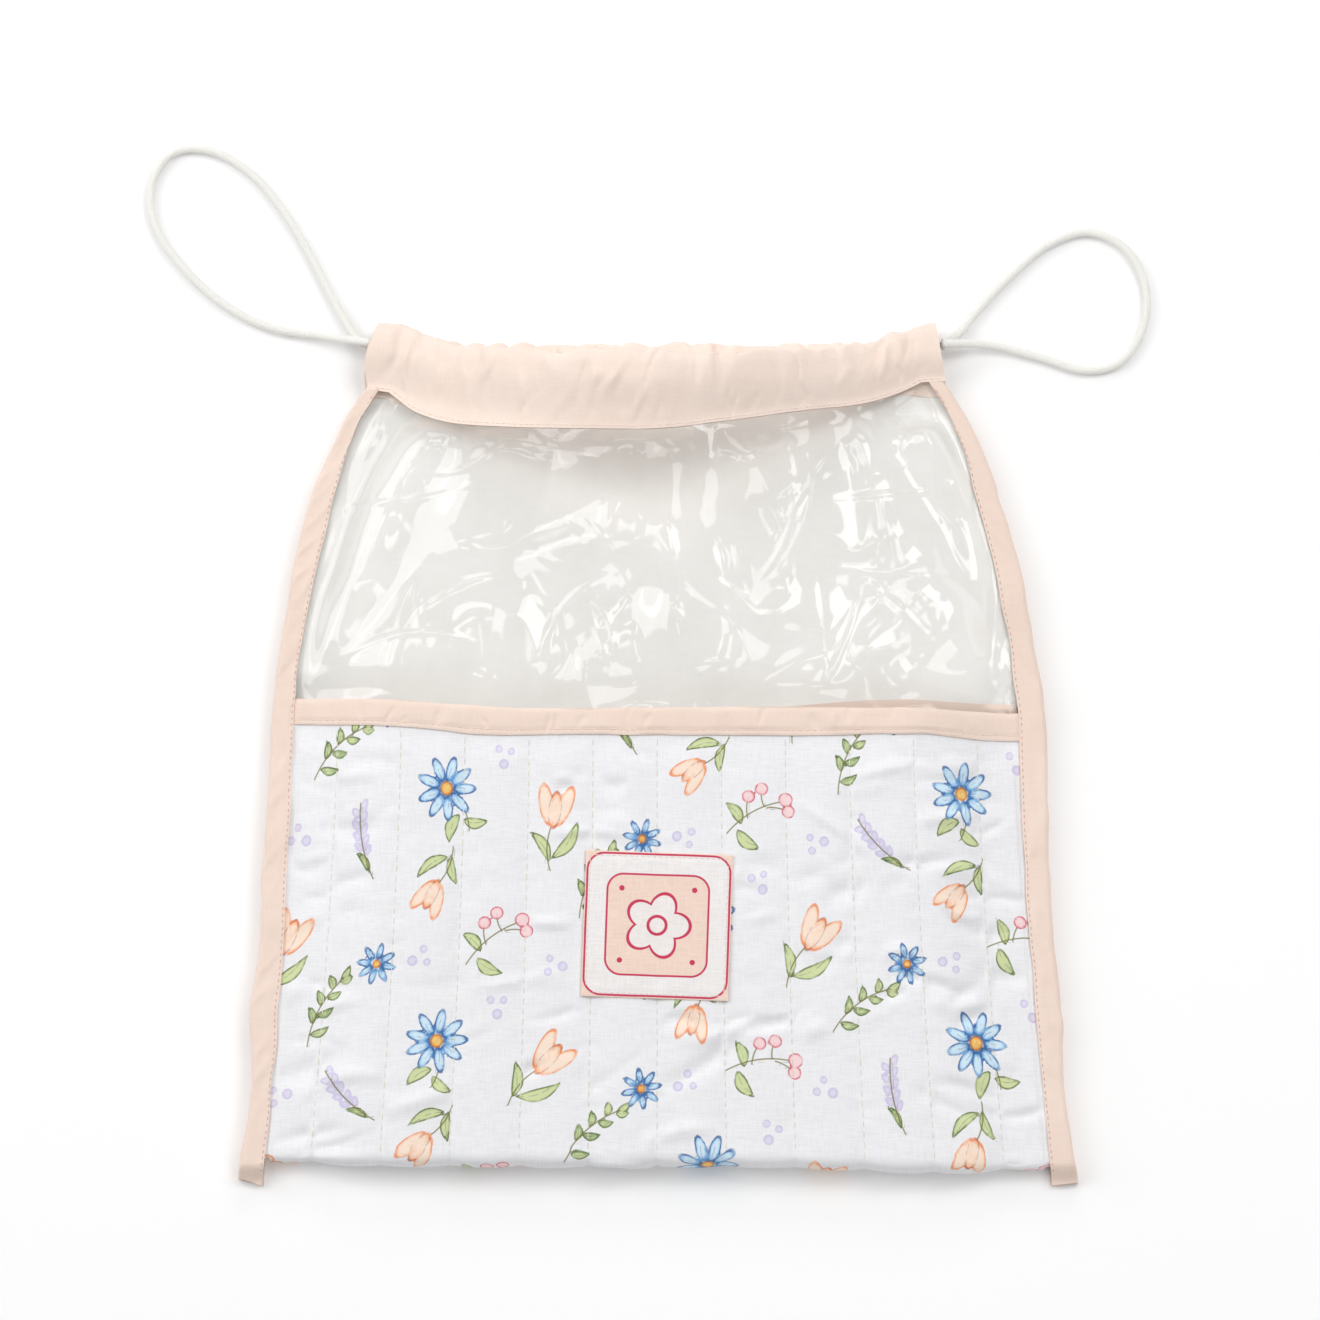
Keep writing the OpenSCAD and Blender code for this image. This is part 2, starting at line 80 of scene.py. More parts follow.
# Columns of the cloth, counted across the bottom: its cut edge, and the inner edge of the binding
EDGE_ROOM, HEM_ROOM = 0.4, 0.5
EDGE_C = BAG_W / 2 - BINDING_T - EDGE_ROOM
HEM_C = EDGE_C - BINDING_W + BINDING_T + EDGE_ROOM - HEM_ROOM
QUILT_LINES = 5

# How the handled cloth lies: the bottom fold squarer than a round one, which has 1, and sagging at its right
# end, and the top of the back casing drawn down between its ends
FOLD_SQUARE, FOLD_SAG, BACK_DRAW = 0.62, 3.4, 6.0

SIGN = {"left": -1, "right": 1}
UP = (0.0, 0.0, 1.0)
DOWN = (0.0, 0.0, -1.0)

# Routes of the two free loops of the drawcord
LEFT_ROUTE = [
    (-106.8, 156.5, 2.9), (-113, 159.5, 2.8), (-121, 172, 2), (-129, 188, 1.7), (-139, 205.5, 1.7),
    (-152, 222, 1.7), (-168, 232, 1.7), (-183, 231.5, 1.7), (-191, 219, 1.7), (-189, 202, 1.7),
    (-178, 186, 1.7), (-163, 172.5, 1.7), (-146, 164, 1.7), (-127, 160.5, 2.8), (-107.2, 156.5, 8.7),
]
RIGHT_ROUTE = [
    (106.8, 156.5, 2.9), (112, 159.5, 2.8), (121, 170.5, 2), (133, 183.5, 1.7), (147, 195.5, 1.7),
    (162, 200.8, 1.7), (176, 195, 1.7), (184, 181, 1.7), (183.5, 164.5, 1.7), (175, 151, 1.7),
    (161, 147.5, 1.7), (144, 152.5, 1.7), (126, 156.8, 3), (107.2, 156.5, 8.7),
]

# Camera: above the bag, a little towards its bottom fold
AIM = Vector((0.0011, 0.0366, 0.0))
CAMERA_RISE = math.radians(79)
CAMERA_AWAY = 6.0
VIEW_W = 0.496
SENSOR_W = 36.0


def place_camera():
    lens = bpy.data.cameras.new("camera")
    lens.sensor_width = SENSOR_W
    lens.lens = SENSOR_W * CAMERA_AWAY / VIEW_W
    lens.clip_end = 30
    eye = bpy.data.objects.new("camera", lens)
    scene.collection.objects.link(eye)
    eye.location = AIM + CAMERA_AWAY * Vector((0, -math.cos(CAMERA_RISE), math.sin(CAMERA_RISE)))
    eye.rotation_euler = (math.pi / 2 - CAMERA_RISE, 0, 0)
    scene.camera = eye


place_camera()


class Signal:
    """A socket of a finish. Arithmetic on it adds Math nodes."""

    def __init__(self, finish, socket):
        self.finish = finish
        self.socket = socket

    def math(self, operation, *others):
        return self.finish.add("ShaderNodeMath", {"operation": operation}, dict(enumerate([self, *others])))

    def __add__(self, other):
        return self.math("ADD", other)

    def __sub__(self, other):
        return self.math("SUBTRACT", other)

    def __mul__(self, other):
        return self.math("MULTIPLY", other)

    def __abs__(self):
        return self.math("ABSOLUTE")

    def __rsub__(self, other):
        return self.finish.add("ShaderNodeMath", {"operation": "SUBTRACT"}, {0: other, 1: self})

    __radd__ = __add__
    __rmul__ = __mul__


def srgb(red, green, blue):
    """Colour as seen on a screen, from 0 to 255, made linear."""
    seen = [value / 255 for value in (red, green, blue)]
    return tuple(v / 12.92 if v <= 0.04045 else ((v + 0.055) / 1.055) ** 2.4 for v in seen) + (1.0,)


class Finish:
    """A material that is put together node by node."""

    def __init__(self, name):
        self.material = bpy.data.materials.new(name)
        self.material.use_nodes = True
        self.tree = self.material.node_tree
        self.tree.nodes.clear()
        self.sheet_place = None

    def add(self, kind, settings=None, sockets=None, out=0):
        node = self.tree.nodes.new(kind)
        for key, value in (settings or {}).items():
            setattr(node, key, value)
        for key, value in (sockets or {}).items():
            if isinstance(value, Signal):
                self.tree.links.new(value.socket, node.inputs[key])
            else:
                node.inputs[key].default_value = value
        return Signal(self, node.outputs[out]) if node.outputs else None

    def field(self, name):
        """A value that the piece carries at its points."""
        return self.add("ShaderNodeAttribute", {"attribute_name": name}, out="Fac")

    def cloth(self):
        """Place on the flat cloth, in millimetres."""
        if self.sheet_place is None:
            self.sheet_place = self.add("ShaderNodeUVMap", {"uv_map": "cloth"})
        return self.sheet_place

    def cloth_sides(self):
        """Place across and place along the flat cloth, each as a number."""
        split = self.add("ShaderNodeSeparateXYZ", {}, {0: self.cloth()})
        return split, Signal(self, split.socket.node.outputs[1])

    def noise(self, across, along, detail=2.0, roughness=0.5):
        """Noise on the cloth whose humps are so many millimetres wide and long."""
        place = self.add(
            "ShaderNodeMapping", {}, {"Vector": self.cloth(), "Scale": (1 / across, 1 / along, 1.0)}
        )
        return self.add(
            "ShaderNodeTexNoise", {},
            {"Vector": place, "Scale": 1.0, "Detail": detail, "Roughness": roughness},
        )

    def smooth(self, value, low, high, start=0.0, end=1.0):
        """Eases from start at low to end at high."""
        return self.add(
            "ShaderNodeMapRange", {"interpolation_type": "SMOOTHSTEP"},
            {0: value, 1: low, 2: high, 3: start, 4: end},
        )

    def mix(self, share, first, second, blend="MIX"):
        return self.add(
            "ShaderNodeMix", {"data_type": "RGBA", "blend_type": blend},
            {0: share, 6: first, 7: second}, out=2,
        )

    def bump(self, height, depth, strength=1.0):
        return self.add(
            "ShaderNodeBump", {}, {"Height": height, "Distance": depth * MM, "Strength": strength}
        )

    def body(self, sockets):
        return self.add("ShaderNodeBsdfPrincipled", {}, sockets)

    def show(self, shader):
        self.add("ShaderNodeOutputMaterial", {}, {"Surface": shader})
        return self.material


def weave(finish, thread, slub):
    """Height of a plain weave with uneven threads, between 0 and 1."""
    warp = finish.noise(thread, thread * 14, 1.0)
    weft = finish.noise(thread * 14, thread, 1.0)
    uneven = finish.noise(slub, slub * 0.3, 2.0)
    return (warp + weft) * 0.4 + uneven * 0.2


def cotton(name, base, shadow):
    """Plain woven cotton: uneven threads, soft creases and a faint bloom."""
    finish = Finish(name)
    threads = weave(finish, 0.5, 6.0)
    patches = finish.noise(38.0, 30.0, 3.0)
    share = finish.smooth(threads * 0.6 + patches * 0.4, 0.3, 0.68)
    colour = finish.mix(share, shadow, base)
    rough = finish.smooth(patches, 0.3, 0.7, 0.78, 0.92)
    crumple = finish.noise(7.0, 9.0, 3.0, 0.55)
    normal = finish.bump(threads * 0.35 + crumple * 0.65, 0.5, 0.35)
    return finish.show(finish.body({
        "Base Color": colour, "Roughness": rough, "Normal": normal,
        "Sheen Weight": 0.25, "Sheen Roughness": 0.5, "Specular IOR Level": 0.2,
    }))


# Inks of the print, in the order of printing: pale wash, pigment at its rim, pen line and strength
LOWER_INKS = {
    "lilac": ((222, 216, 236), (202, 194, 225), (206, 198, 227), 0.8),
    "green": ((204, 216, 150), (124, 152, 72), (84, 106, 44), 0.85),
}
UPPER_INKS = {
    "peach": ((252, 226, 204), (246, 180, 132), (238, 138, 82), 0.85),
    "pink": ((248, 212, 214), (232, 138, 150), (204, 84, 104), 0.85),
    "blue": ((206, 232, 247), (86, 160, 218), (34, 84, 148), 0.9),
    "gold": ((250, 214, 120), (226, 146, 60), (176, 104, 44), 0.95),
}


def wash(finish, under, tone, field, pale, deep, line, strength):
    """One watercolour wash: pale inside, its pigment gathered at the rim, and a broken pen line round it."""
    distance = finish.field(field)
    bleed = finish.noise(1.1, 1.1, 2.0) * 0.7 - 0.35
    edge = distance + bleed * 0.45
    mask = finish.smooth(edge, 0.1, -0.16)
    pool = finish.smooth(edge, -1.3, -0.1)
    grain = finish.noise(1.7, 1.7, 3.0)
    depth = finish.smooth(pool * 0.5 + tone * 0.35 + grain * 0.7, 0.5, 1.15)
    paint = finish.mix(depth, srgb(*pale), srgb(*deep))
    broken = finish.smooth(finish.noise(4.0, 4.0, 1.0), 0.34, 0.56, 0.25, 1.0)
    pen = finish.smooth(abs(distance + bleed * 0.25 + 0.1), 0.34, 0.14) * broken
    return finish.mix(pen * 0.8, finish.mix(mask * strength, under, paint), srgb(*line))


def pen_line(finish, line, wide, thin, faint, full):
    """A drawn line of the print, from the fields that the cloth carries for it."""
    stroke = finish.smooth(abs(finish.field(f"{line}_side")), wide, thin)
    return stroke * finish.smooth(finish.field(f"{line}_near"), faint, full)


def printed_cotton():
    """White quilting cotton with a loose watercolour print of garden flowers."""
    finish = Finish("printed_cotton")
    threads = weave(finish, 0.5, 5.0)
    colour = finish.mix(finish.smooth(threads, 0.36, 0.62), srgb(232, 232, 235), srgb(240, 240, 242))
    tone = finish.field("tone")
    for field, ink in LOWER_INKS.items():
        colour = wash(finish, colour, tone, field, *ink)
    for line in ("stem", "twig"):
        colour = finish.mix(pen_line(finish, line, 0.42, 0.14, 0.6, 0.85) * 0.85, colour, srgb(128, 122, 62))
    for field, ink in UPPER_INKS.items():
        colour = wash(finish, colour, tone, field, *ink)
    vein = pen_line(finish, "vein", 0.3, 0.1, 0.5, 0.9)
    vein = vein * finish.smooth(finish.noise(3.0, 3.0, 1.0), 0.36, 0.56)
    colour = finish.mix(vein * 0.75, colour, srgb(196, 194, 206), "MULTIPLY")
    crumple = finish.noise(9.0, 5.0, 3.0, 0.55)
    return finish.show(finish.body({
        "Base Color": colour, "Roughness": finish.smooth(threads, 0.3, 0.7, 0.8, 0.9),
        "Normal": finish.bump(threads * 0.3 + crumple * 0.7, 0.5, 0.3),
        "Sheen Weight": 0.2, "Sheen Roughness": 0.5, "Specular IOR Level": 0.2,
    }))


def clear_vinyl():
    """Soft clear sheet: it lets the light through and mirrors it more the flatter the look."""
    finish = Finish("clear_vinyl")
    haze = finish.noise(26.0, 20.0, 4.0, 0.6)
    ripple = finish.noise(14.0, 11.0, 2.0, 0.4)
    normal = finish.bump(ripple, 0.4, 0.25)
    clear = finish.add("ShaderNodeBsdfTransparent", {}, {"Color": (0.99, 0.99, 0.988, 1.0)})
    gloss = finish.body({
        "Base Color": (0.96, 0.97, 0.97, 1.0), "Metallic": 1.0, "Normal": normal,
        "Roughness": finish.smooth(haze, 0.4, 0.7, 0.04, 0.15),
    })
    slant = finish.add("ShaderNodeLayerWeight", {}, {"Blend": 0.5, "Normal": normal}, out="Facing")
    share = finish.smooth(haze, 0.35, 0.8, 0.026, 0.04) + slant.math("POWER", 5.0) * 0.9
    return finish.show(finish.add("ShaderNodeMixShader", {}, {0: share, 1: clear, 2: gloss}))


def woven_cord():
    """Ivory cord with the fine slanting ribs of a tubular weave."""
    finish = Finish("woven_cord")
    around, along = finish.cloth_sides()
    girth, slope = around * (CORD_RIBS / (math.pi * CORD_D)), along * 0.9
    one_way, other_way = ((way * (2 * math.pi)).math("SINE") for way in (girth + slope, girth - slope))
    ribs = one_way.math("MAXIMUM", other_way)
    colour = finish.mix(finish.smooth(ribs, -0.4, 0.8), srgb(249, 247, 240), srgb(254, 253, 248))
    return finish.show(finish.body({
        "Base Color": colour, "Roughness": finish.smooth(ribs, -1.0, 1.0, 0.75, 0.6),
        "Normal": finish.bump(ribs, 0.25, 0.6), "Sheen Weight": 0.2, "Specular IOR Level": 0.3,
    }))


def sewing_thread(name, light, dark):
    """Twisted thread, a little glossy."""
    finish = Finish(name)
    fuzz = finish.noise(0.5, 0.5, 2.0)
    colour = finish.mix(finish.smooth(fuzz, 0.3, 0.7), dark, light)
    return finish.show(finish.body({
        "Base Color": colour, "Roughness": finish.smooth(fuzz, 0.3, 0.7, 0.5, 0.7),
        "Normal": finish.bump(fuzz, 0.15, 0.5), "Specular IOR Level": 0.35,
    }))


def rounded_square(x, y, half, corner):
    """Distance from a square with round corners, below zero inside."""
    over_x = abs(x) - (half - corner)
    over_y = abs(y) - (half - corner)
    out_x = over_x.math("MAXIMUM", 0.0)
    out_y = over_y.math("MAXIMUM", 0.0)
    outside = (out_x * out_x + out_y * out_y).math("SQRT")
    inside = over_x.math("MAXIMUM", over_y).math("MINIMUM", 0.0)
    return outside + inside - corner


def label_cotton():
    """White patch with a crimson frame, a peach square and a plain rosette."""
    finish = Finish("label_cotton")
    x, y = finish.cloth_sides()
    threads = weave(finish, 0.45, 4.0)
    shade = finish.smooth(threads, 0.34, 0.64)
    white = finish.mix(shade, srgb(232, 228, 226), srgb(243, 240, 239))
    peach = finish.mix(shade, srgb(236, 208, 192), srgb(244, 220, 206))
    crimson = finish.mix(shade, srgb(190, 28, 76), srgb(208, 42, 90))
    frame_edge = rounded_square(x, y, 26.7, 6.4)
    panel_edge = rounded_square(x, y, 19.0, 6.0)
    colour = finish.mix(finish.smooth(frame_edge, 0.25, -0.05), peach, white)
    colour = finish.mix(finish.smooth(panel_edge, 0.15, -0.15), colour, peach)
    reach = (x * x + y * y).math("SQRT")
    angle = y.math("ARCTAN2", x)
    petals = reach - (abs((angle * 2.5).math("COSINE")) * 4.2 + 8.2)
    dot_x, dot_y = abs(x) - 13.6, abs(y) - 13.6
    dot = (dot_x * dot_x + dot_y * dot_y).math("SQRT")
    lines = finish.smooth(dot, 1.15, 0.9)
    for edge, wide, thin in (
        (frame_edge, 0.52, 0.28), (panel_edge, 0.5, 0.26), (petals, 0.75, 0.5), (reach - 3.4, 0.7, 0.45)
    ):
        lines = lines.math("MAXIMUM", finish.smooth(abs(edge), wide, thin))
    flower = finish.smooth(petals, 0.2, -0.2) * 0.85
    colour = finish.mix(flower, colour, white)
    colour = finish.mix(lines * 0.96, colour, crimson)
    return finish.show(finish.body({
        "Base Color": colour, "Roughness": finish.smooth(threads, 0.3, 0.7, 0.72, 0.86),
        "Normal": finish.bump(threads, 0.3, 0.35), "Sheen Weight": 0.15, "Specular IOR Level": 0.25,
    }))


def floor_paint():
    """Matt white, a little cloudy."""
    finish = Finish("floor_paint")
    place = finish.add("ShaderNodeTexCoord", out="Object")
    cloud = finish.add("ShaderNodeTexNoise", {}, {"Vector": place, "Scale": 1.5, "Detail": 1.0})
    colour = finish.mix(cloud, (0.95, 0.95, 0.95, 1.0), (0.965, 0.965, 0.965, 1.0))
    return finish.show(finish.body({
        "Base Color": colour, "Roughness": 0.9, "Specular IOR Level": 0.1,
        "Emission Color": (1.0, 1.0, 1.0, 1.0), "Emission Strength": 0.03,
    }))


def mix(a, b, k):
    return a + (b - a) * k


def ease(k):
    k = np.clip(k, 0.0, 1.0)
    return k * k * (3 - 2 * k)


def points_at(x, y, z):
    return np.stack(np.broadcast_arrays(x, y, z), axis=-1)


def run_of(path):
    """Length of a path up to each of its points."""
    return np.concatenate([[0], np.cumsum(np.linalg.norm(np.diff(path, axis=0), axis=1))])


def soft_noise(x, y, seed):
    """Smooth noise between about -1 and 1, one hump to each unit square."""
    cells = np.random.default_rng(seed).uniform(-1.0, 1.0, (128, 128))
    col, row = np.floor(x).astype(int), np.floor(y).astype(int)
    fx, fy = x - col, y - row
    fx, fy = fx ** 3 * (fx * (6 * fx - 15) + 10), fy ** 3 * (fy * (6 * fy - 15) + 10)
    low = mix(cells[row % 128, col % 128], cells[row % 128, (col + 1) % 128], fx)
    high = mix(cells[(row + 1) % 128, col % 128], cells[(row + 1) % 128, (col + 1) % 128], fx)
    return mix(low, high, fy)


def creases(x, y, count, box, seed, long, wide, high, lean, bow):
    """Scattered soft creases: low curved ridges with tapered ends."""
    draw = np.random.default_rng(seed)
    rise = np.zeros_like(x)
    for _ in range(count):
        at_x, at_y = draw.uniform(box[0], box[1]), draw.uniform(box[2], box[3])
        turn = draw.normal(*lean)
        length, width, height = draw.uniform(*long), draw.uniform(*wide), draw.uniform(*high)
        bend = draw.normal(0, bow)
        cos, sin = math.cos(turn), math.sin(turn)
        k = 2 * ((x - at_x) * cos + (y - at_y) * sin) / length
        over = (y - at_y) * cos - (x - at_x) * sin - bend * (1 - k * k)
        rise += height * np.clip(1 - k * k, 0, 1) ** 1.5 * np.exp(-((over / width) ** 2))
    return rise


def facets(x, y, cell, slope, warp, soft, seed):
    """Crumpled sheet: planes of random slope that meet in soft curved ridges."""
    wide, tall = cell
    bent_x = x + warp * soft_noise(x / (1.7 * wide), y / (1.7 * tall), seed + 1)
    bent_y = y + warp * soft_noise(x / (1.7 * wide), y / (1.7 * tall), seed + 2)
    draw = np.random.default_rng(seed)
    weight, rise = np.full_like(x, 1e-9), np.zeros_like(x)
    for at_x in np.arange(x.min() - wide, x.max() + wide, wide):
        for at_y in np.arange(y.min() - tall, y.max() + tall, tall):
            jump = draw.uniform(-0.45, 0.45, 2)
            lean = draw.normal(0, 1, 2)
            dx = bent_x - at_x - jump[0] * wide
            dy = bent_y - at_y - jump[1] * tall
            own = np.exp(-((dx / wide) ** 2 + (dy / tall) ** 2) / soft ** 2)
            weight += own
            rise += own * (lean[0] * slope[0] * dx + lean[1] * slope[1] * dy)
    return rise / weight


def half_w(y):
    """Half width over the bindings."""
    low = np.clip((Y_BAND - y) / (Y_BAND - Y_BOTTOM), 0.0, None)
    high = np.clip((y - Y_BAND) / (Y_CASING - Y_BAND), 0.0, None)
    narrowing = (1 - TURN_SHARE) * high ** SIDE_POWER + TURN_SHARE * high ** TURN_POWER
    return WAIST_W / 2 + (BAG_W - WAIST_W) / 2 * low ** FLARE_POWER - (WAIST_W - MOUTH_W) / 2 * narrowing


def across(c, y):
    """Place across the bag of a column of the cloth, counted at the bottom."""
    cut = half_w(y) - BINDING_T - EDGE_ROOM
    hem = np.sign(c) * (cut - EDGE_C + np.abs(c))
    return np.where(np.abs(c) >= HEM_C, hem, c * (cut - EDGE_C + HEM_C) / HEM_C)


def plateau(c):
    return ease((HEM_C - np.abs(c)) / SHOULDER_W)


def arch(c):
    return np.where(np.abs(c) >= HEM_C, 0.0, 0.5 + 0.5 * np.cos(np.pi * c / HEM_C))


def pocket_gap(y):
    return mix(FOLD_GAP, WAIST_GAP, np.clip((y - Y_FOLD) / (Y_JOIN - Y_FOLD), 0.0, 1.0))


def casing_y(c):
    return Y_CASING - CASING_DIP * np.maximum(0.0, 1 - (c / HEM_C) ** 2)


def window_z(c, y):
    k = np.maximum(0.0, (y - Y_JOIN) / (casing_y(c) - Y_JOIN)) ** WINDOW_POWER
    return FRONT_Z + mix(WAIST_GAP * plateau(c), MOUTH_GAP * arch(c), k)


def front_face(c, y):
    return np.where(y > Y_JOIN, window_z(c, y), FRONT_Z + pocket_gap(y) * plateau(c))


def panel_point(y, turn, c, depth, square=1.0):
    """Point of the folded quilt at a depth out from the lining's inner face."""
    gap = SEAM_GAP + pocket_gap(y) * plateau(c)
    reach = gap / 2 + depth
    # The right end of the bottom fold hangs lower
    y = y - FOLD_SAG * ease((c - 20) / 130) * ease(1 - (y - Y_FOLD) / 50)
    out = np.abs(np.sin(turn)) ** square
    up = np.sign(np.cos(turn)) * np.abs(np.cos(turn)) ** square
    return points_at(across(c, y), y - reach * out, BACK_Z + gap / 2 + reach * up)


def relief(y, turn):
    """Share of the channels' height that is left near the band and the casing."""
    flat = np.where(turn < np.pi / 2, Y_BAND - BAND_CLEAR, Y_CASING - CASING_CLEAR)
    return 1 - ease((y - flat) / FADE_W + 1)


def settled(points):
    """Points of the cloth after the left end of the band is drawn up along the side."""
    x, y = points[..., 0], points[..., 1]
    up = y + BAND_RISE * ease((-x - RISE_FROM) / RISE_RUN) * np.exp(-(((y - Y_JOIN) / RISE_FADE) ** 2))
    return points_at(x * half_w(up) / half_w(y), up, points[..., 2])


def normals_of(grid, outward):
    along = np.gradient(grid, axis=0)
    over = np.gradient(grid, axis=1)
    normal = np.cross(over, along)
    normal /= np.maximum(np.linalg.norm(normal, axis=2, keepdims=True), 1e-9)
    return normal if (normal * outward).sum() >= 0 else -normal


def signed_volume(mesh):
    mesh.calc_loop_triangles()
    corners = np.array([t.vertices for t in mesh.loop_triangles])
    points = np.array([v.co for v in mesh.vertices])
    a, b, c = (points[corners[:, k]] for k in range(3))
    return (a * np.cross(b, c)).sum() / 6


def link_mesh(name, points, faces, corner_uv, finish, fields=None, loop_normals=None):
    """A piece of given faces. Where it has no normals of its own, its faces are made to point outwards."""
    mesh = bpy.data.meshes.new(name)
    mesh.from_pydata((points * MM).tolist(), [], faces)
    layer = mesh.uv_layers.new(name="cloth")
    layer.data.foreach_set("uv", corner_uv.astype(np.float32).reshape(-1))
    for field, values in (fields or {}).items():
        mesh.attributes.new(field, "FLOAT", "POINT").data.foreach_set("value", values.astype(np.float32))
    mesh.polygons.foreach_set("use_smooth", np.ones(len(faces), bool))
    mesh.update()
    if loop_normals is not None:
        mesh.normals_split_custom_set(loop_normals.tolist())
    elif signed_volume(mesh) < 0:
        mesh.flip_normals()
    mesh.materials.append(finish)
    piece = bpy.data.objects.new(name, mesh)
    scene.collection.objects.link(piece)
    return piece


def shell(name, face, back, uv, finish, fields=None, normals=None):
    """Closed sheet of cloth between two matching grids of points."""
    rows, cols = face.shape[:2]
    count = rows * cols
    if normals is None:
        face, back = settled(face), settled(back)
    outward = face - back
    face_n, back_n = normals or (normals_of(face, outward), normals_of(back, -outward))
    at = np.arange(count).reshape(rows, cols)
    quads = np.stack([at[:-1, :-1], at[:-1, 1:], at[1:, 1:], at[1:, :-1]], -1).reshape(-1, 4)
    ring = np.concatenate([at[0, :-1], at[:-1, -1], at[-1, :0:-1], at[:0:-1, 0]])
    after = np.roll(ring, -1)
    rim = np.stack([after, ring, ring + count, after + count], -1)
    raw = np.cross(np.gradient(face, axis=1), np.gradient(face, axis=0))
    turned = (raw * outward).sum() < 0
    if turned:
        quads, rim = quads[:, ::-1], rim[:, ::-1]
    faces = np.concatenate([quads, quads[:, ::-1] + count, rim])
    points = np.concatenate([face.reshape(-1, 3), back.reshape(-1, 3)])
    vertex_n = np.concatenate([face_n.reshape(-1, 3), back_n.reshape(-1, 3)])
    loop_n = vertex_n[faces]
    edges = points[rim]
    rim_n = np.cross(edges[:, 1] - edges[:, 0], edges[:, 2] - edges[:, 1])
    rim_n /= np.maximum(np.linalg.norm(rim_n, axis=1, keepdims=True), 1e-9)
    loop_n[2 * len(quads):] = rim_n[:, None, :]
    flat = np.tile(uv.reshape(-1, 2), (2, 1))
    carried = {key: np.tile(value.reshape(-1), 2) for key, value in (fields or {}).items()}
    corner_uv = flat[faces.reshape(-1)]
    return link_mesh(name, points, faces.tolist(), corner_uv, finish, carried, loop_n.reshape(-1, 3))


def halves(name, face, back, uv, finish, fields=None):
    """The sheet as a left and a right half that share the middle column."""
    face, back = settled(face), settled(back)
    outward = face - back
    face_n, back_n = normals_of(face, outward), normals_of(back, -outward)
    middle = face.shape[1] // 2
    made = []
    for side, part in (("left", np.s_[:, : middle + 1]), ("right", np.s_[:, middle:])):
        own = {key: value[part] for key, value in (fields or {}).items()}
        made.append(shell(
            f"{name}_{side}", face[part], back[part], uv[part], finish, own, (face_n[part], back_n[part])
        ))
    return made


def spline(points, step):
    """Smooth curve through points, cut into even steps."""
    p = np.array(points, float)
    p = np.concatenate([[2 * p[0] - p[1]], p, [2 * p[-1] - p[-2]]])
    t = np.linspace(0, 1, 40, endpoint=False)[:, None]
    pieces = []
    for a, b, c, d in zip(p, p[1:], p[2:], p[3:]):
        pieces.append(0.5 * (
            2 * b + (c - a) * t + (2 * a - 5 * b + 4 * c - d) * t ** 2 + (3 * b - a - 3 * c + d) * t ** 3
        ))
    dense = np.concatenate([*pieces, p[-2:-1]])
    run = run_of(dense)
    stops = np.linspace(0, run[-1], int(round(run[-1] / step)) + 1)
    return np.stack([np.interp(stops, run, dense[:, k]) for k in range(3)], axis=1), run[-1]


def cord_tube(name, path, diameter, finish, sides=14):
    """Round cord along a path, closed at both ends."""
    way = np.gradient(path, axis=0)
    way /= np.linalg.norm(way, axis=1, keepdims=True)
    side = np.cross(way, [0.0, 0.0, 1.0])
    side /= np.linalg.norm(side, axis=1, keepdims=True)
    up = np.cross(side, way)
    angle = np.linspace(0, 2 * np.pi, sides, endpoint=False)
    ring = np.cos(angle)[None, :, None] * side[:, None, :] + np.sin(angle)[None, :, None] * up[:, None, :]
    points = (path[:, None, :] + diameter / 2 * ring).reshape(-1, 3)
    count = len(path)
    at = np.arange(count * sides).reshape(count, sides)
    nxt = np.roll(at, -1, axis=1)
    quads = np.stack([at[:-1], nxt[:-1], nxt[1:], at[1:]], -1).reshape(-1, 4)
    ends = len(points)
    points = np.concatenate([points, path[:1], path[-1:]])
    caps = [[ends, b, a] for a, b in zip(at[0], nxt[0])]
    caps += [[ends + 1, a, b] for a, b in zip(at[-1], nxt[-1])]
    run = run_of(path)
    length = np.append(np.repeat(run, sides), [0, run[-1]])
    turn = np.append(np.tile(np.arange(sides), count), [0, 0]) * math.pi * diameter / sides
    # The last side of each ring ends a whole turn on, not back at nought
    quad_turn = turn[quads]
    quad_turn[:, 1:3] += math.pi * diameter * (quads[:, 1:2] % sides == 0)
    flat_turn = np.append(quad_turn, turn[np.array(caps)])
    flat_run = np.append(length[quads], length[np.array(caps)])
    return link_mesh(name, points, quads.tolist() + caps, np.stack([flat_turn, flat_run], 1), finish)


def gather(piece):
    """Bakes the piece's placement into its points."""
    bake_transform(piece)


def gather_both(pieces, slot, *nodes):
    for piece, side in zip(pieces, ("left", "right")):
        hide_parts(*nodes)
        gather(piece)


CORD = woven_cord()
PRINT = printed_cotton()
LINING = cotton("lining_cotton", srgb(247, 246, 243), srgb(239, 237, 233))
PEACH = cotton("peach_cotton", srgb(241, 221, 208), srgb(234, 212, 198))
# The casings are the same peach cotton as the bindings, painted lighter to make up for the light their faces
# lose as they tilt away from the soft boxes: painted light.
CASING_PAINTED_LIGHT = cotton("casing_cotton_painted_light", srgb(247, 229, 217), srgb(240, 220, 207))
VINYL = clear_vinyl()
LABEL = label_cotton()
QUILT_THREAD = sewing_thread("quilting_thread", srgb(232, 231, 216), srgb(212, 210, 192))
PEACH_THREAD = sewing_thread("peach_thread", srgb(246, 228, 216), srgb(226, 200, 184))
HEM_THREAD = sewing_thread("hem_thread", srgb(250, 236, 226), srgb(236, 214, 200))
SEAM_THREAD = sewing_thread("seam_thread", srgb(222, 182, 164), srgb(200, 156, 138))


def free_loop(side, route):
    """A free loop of the drawcord, out of the back casing and into the front one."""
    path, length = spline(route, 1.3)
    piece = cord_tube(f"cord_loop_{side}", path, CORD_D, CORD)
    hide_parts(f"{side}_loop")
    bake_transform(piece)


